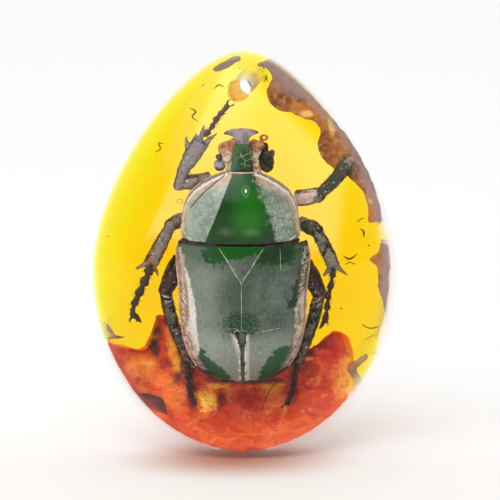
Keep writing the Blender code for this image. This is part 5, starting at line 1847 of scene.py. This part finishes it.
# Thin dark cracks and wisps: depth and (x, z, radius) along each.
CRACKS = {
    "crack_right_upper": (0.0, [(16.9, 21.5, 0.05), (17.7, 20.9, 0.09), (18.6, 20.8, 0.1),
                                (19.5, 21.0, 0.05)]),
    "crack_right_middle": (0.0, [(17.4, 19.1, 0.03), (18.2, 19.5, 0.05), (18.9, 19.8, 0.03)]),
    "crack_right_low": (0.0, [(18.1, 16.8, 0.03), (19.3, 17.1, 0.06), (20.3, 17.5, 0.03)]),
    "crescent_lower": (0.0, [(14.2, 31.85, 0.05), (15.15, 31.4, 0.15), (16.2, 32.1, 0.05)]),
    "crescent_faint": (0.0, [(14.4, 30.6, 0.03), (15.2, 30.9, 0.08), (16.0, 30.5, 0.03)]),
    "crescent_upper": (0.0, [(16.7, 35.9, 0.04), (17.2, 35.3, 0.15), (17.15, 34.6, 0.05)]),
    "crescent_top": (0.0, [(16.2, 36.8, 0.04), (16.8, 37.3, 0.08), (17.3, 37.4, 0.04)]),
    "wisp_upper_left": (-1.0, [(-7.75, 54.9, 0.05), (-6.9, 54.3, 0.12), (-7.4, 53.5, 0.1),
                               (-6.6, 52.8, 0.05)]),
    "wisp_left": (-1.0, [(-12.8, 47.9, 0.05), (-12.0, 48.4, 0.1), (-12.3, 49.3, 0.09),
                         (-11.5, 49.2, 0.05)]),
    "wisp_bore": (-1.0, [(-4.3, 57.9, 0.05), (-3.6, 58.6, 0.1), (-2.9, 58.3, 0.05)]),
    "crack_cloud_upper": (0.3, [(5.3, 13.4, 0.05), (4.6, 12.7, 0.09), (3.9, 12.0, 0.08),
                                (3.4, 11.0, 0.06)]),
    "crack_cloud_lower": (-0.8, [(3.4, 11.1, 0.06), (3.0, 10.0, 0.07), (2.7, 9.3, 0.07),
                                 (2.5, 8.5, 0.04)]),
}
# Ring bubbles: centre, radius, thickness and finish.
BUBBLE_RINGS = {
    "ring_bubble_head": ((2.97, -2.0, 50.43), 0.46, 0.2, "orange"),
    "ring_bubble_left": ((-9.2, -2.0, 40.5), 0.42, 0.05, "pale"),
    "ring_bubble_low": ((0.95, -2.0, 7.7), 0.45, 0.07, "dark"),
}
# Specks as (x, y, z, radius).
SPECKS = [(20.0, 0.0, 34.0, 0.16), (13.9, 0.0, 24.0, 0.17), (-5.9, -1.0, 58.6, 0.14),
          (0.9, -1.0, 57.4, 0.12), (17.9, 0.0, 33.3, 0.14), (-19.6, 0.0, 34.6, 0.13)]


def make_small_things():
    """Cracks, wisps, ring bubbles and specks that show in the clear pour."""
    dark = plain_mottled("wisp_brown", (120, 72, 20), (84, 52, 18), 0.5, 1.4, 0.02)
    rings = {"orange": plain_mottled("ring_orange", (206, 84, 34), (232, 140, 70), 0.4, 1.2),
             "pale": plain_mottled("ring_pale", (226, 178, 70), (196, 144, 50), 0.4, 1.2),
             "dark": plain_mottled("ring_dark", (120, 30, 30), (150, 50, 36), 0.4, 1.2)}
    for name, (depth, points) in CRACKS.items():
        line = limb(name, [(x, depth, z, radius) for x, z, radius in eased(points, 5)])
        tidy(line)
        roughen(line, 0.4, 0.08)
        smooth(line, 70)
        wear(line, dark)
        to_place(line, "flake_brown")
    for name, (centre, radius, thickness, shade) in BUBBLE_RINGS.items():
        bpy.ops.mesh.primitive_torus_add(major_radius=radius * MM, minor_radius=thickness * MM,
                                         major_segments=40, minor_segments=10,
                                         location=[c * MM for c in centre],
                                         rotation=(math.radians(90), 0, 0))
        ring = fresh(name)
        settle(ring)
        into(ring, everything=True)
        stretch((1.0, 1.0, 0.8), centre)
        out()
        roughen(ring, 0.7, 0.1)
        smooth(ring, 70)
        wear(ring, rings[shade])
        to_place(ring, "flake_brown")
    specks = []
    for x, y, z, radius in SPECKS:
        speck = lump("specks", (x, y, z), (radius, radius, radius * 0.8), dark, 2)
        roughen(speck, 0.3, 0.08)
        specks.append(speck)
    to_place(join("specks", specks), "flake_brown")


# The room.

def floor_finish():
    """Pale floor, warmer near the front, with an amber tint where light comes through."""
    finish = Finish("pale_floor", 0.7, Emission_Color=(1.0, 1.0, 1.0, 1.0), Emission_Strength=0.04)
    far = finish.side((0.0, 1.0, 0.0), 0.0, 0.0, 1.0, 70.0)
    finish.start(far, (226, 223, 219), (230, 230, 230))
    painted_shadow_glow = finish.spot((-1.5, -7.0, 0.0), (11.0, 8.0, 9.0), 0.0, 1.0, 0.95)
    finish.lay(painted_shadow_glow, (178, 108, 62), 0.9)
    return finish.done()


KEY_WAY = (-0.3, -0.52, 0.8)
KEY_STRENGTH = 2.0
CAMERA_AIM = Vector((1.04, STAND_Y, 32.67))
CAMERA_RISE = math.radians(9.5)
CAMERA_DISTANCE = 450
VIEW_WIDTH = 80


def make_room():
    """Pale floor, and a bright room with its strongest light from the upper left front."""
    bpy.ops.mesh.primitive_plane_add(size=6.0)
    floor = fresh("floor")
    wear(floor, floor_finish())
    world = bpy.data.worlds.new("studio")
    bpy.context.scene.world = world
    world.use_nodes = True
    tree = world.node_tree
    way = add(tree, "ShaderNodeTexCoord").outputs["Generated"]
    parts = add(tree, "ShaderNodeSeparateXYZ", {"Vector": way}).outputs
    wall = ramp(tree, parts["Y"], -0.3, 0.3, 0.3, 0.9)
    ceiling = ramp(tree, parts["Z"], 0.5, 0.85, 0.0, 0.4)
    toward = vector_node(tree, "DOT_PRODUCT", way, KEY_WAY)["Value"]
    key = ramp(tree, toward, 0.78, 1.0, 0.0, KEY_STRENGTH)
    strength = math_node(tree, "ADD", math_node(tree, "ADD", wall, ceiling), key)
    tree.links.new(strength, tree.nodes["Background"].inputs["Strength"])
    tree.nodes["Background"].inputs["Color"].default_value = (1, 1, 1, 1)
    bpy.context.scene.view_settings.view_transform = "Standard"


def softbox(name, place, size, power):
    bpy.ops.object.light_add(type="AREA", location=[c * MM for c in place])
    box = bpy.context.active_object
    box.name = name
    box.data.shape = "RECTANGLE"
    box.data.size, box.data.size_y = (side * MM for side in size)
    box.data.energy = power
    aim = Vector((0, STAND_Y, 30)) * MM - box.location
    box.rotation_euler = aim.to_track_quat("-Z", "Y").to_euler()


def make_camera():
    back = Vector((0.0, -math.cos(CAMERA_RISE), math.sin(CAMERA_RISE)))
    bpy.ops.object.camera_add(location=(CAMERA_AIM + back * CAMERA_DISTANCE) * MM,
                              rotation=(-back).to_track_quat("-Z", "Y").to_euler())
    camera = bpy.context.active_object
    camera.data.lens = 36 * CAMERA_DISTANCE / VIEW_WIDTH
    camera.data.clip_start = 0.01
    camera.data.clip_end = 20
    bpy.context.scene.camera = camera


def main():
    finishes = {
        "pronotum": pronotum_finish(), "elytron": elytron_finish(),
        "scutellum": scutellum_finish(), "film_edge": film_edge_finish(),
        "margin": margin_finish(), "seam": dark_edge_finish(), "body": body_finish(),
        "head": head_finish(),
        "furrow": plain_mottled("furrow_dark", (86, 104, 86), (62, 50, 54), 0.5, 0.7),
        "violet": plain_mottled("violet_edge", (70, 48, 62), (44, 30, 40), 0.4, 0.8, 0.02),
        "hair": plain_mottled("pale_hair", (246, 242, 234), (186, 154, 130), 0.4, 0.8, 0.01),
    }
    make_back(finishes)
    make_body(finishes)
    make_head(finishes)
    make_legs()
    make_cloud()
    make_flakes()
    make_small_things()
    make_amber()
    make_cream_edge()
    make_resin_drop()
    make_room()
    softbox("key_left", (-260, -420, 620), (700, 600), 1.2)
    make_camera()


main()
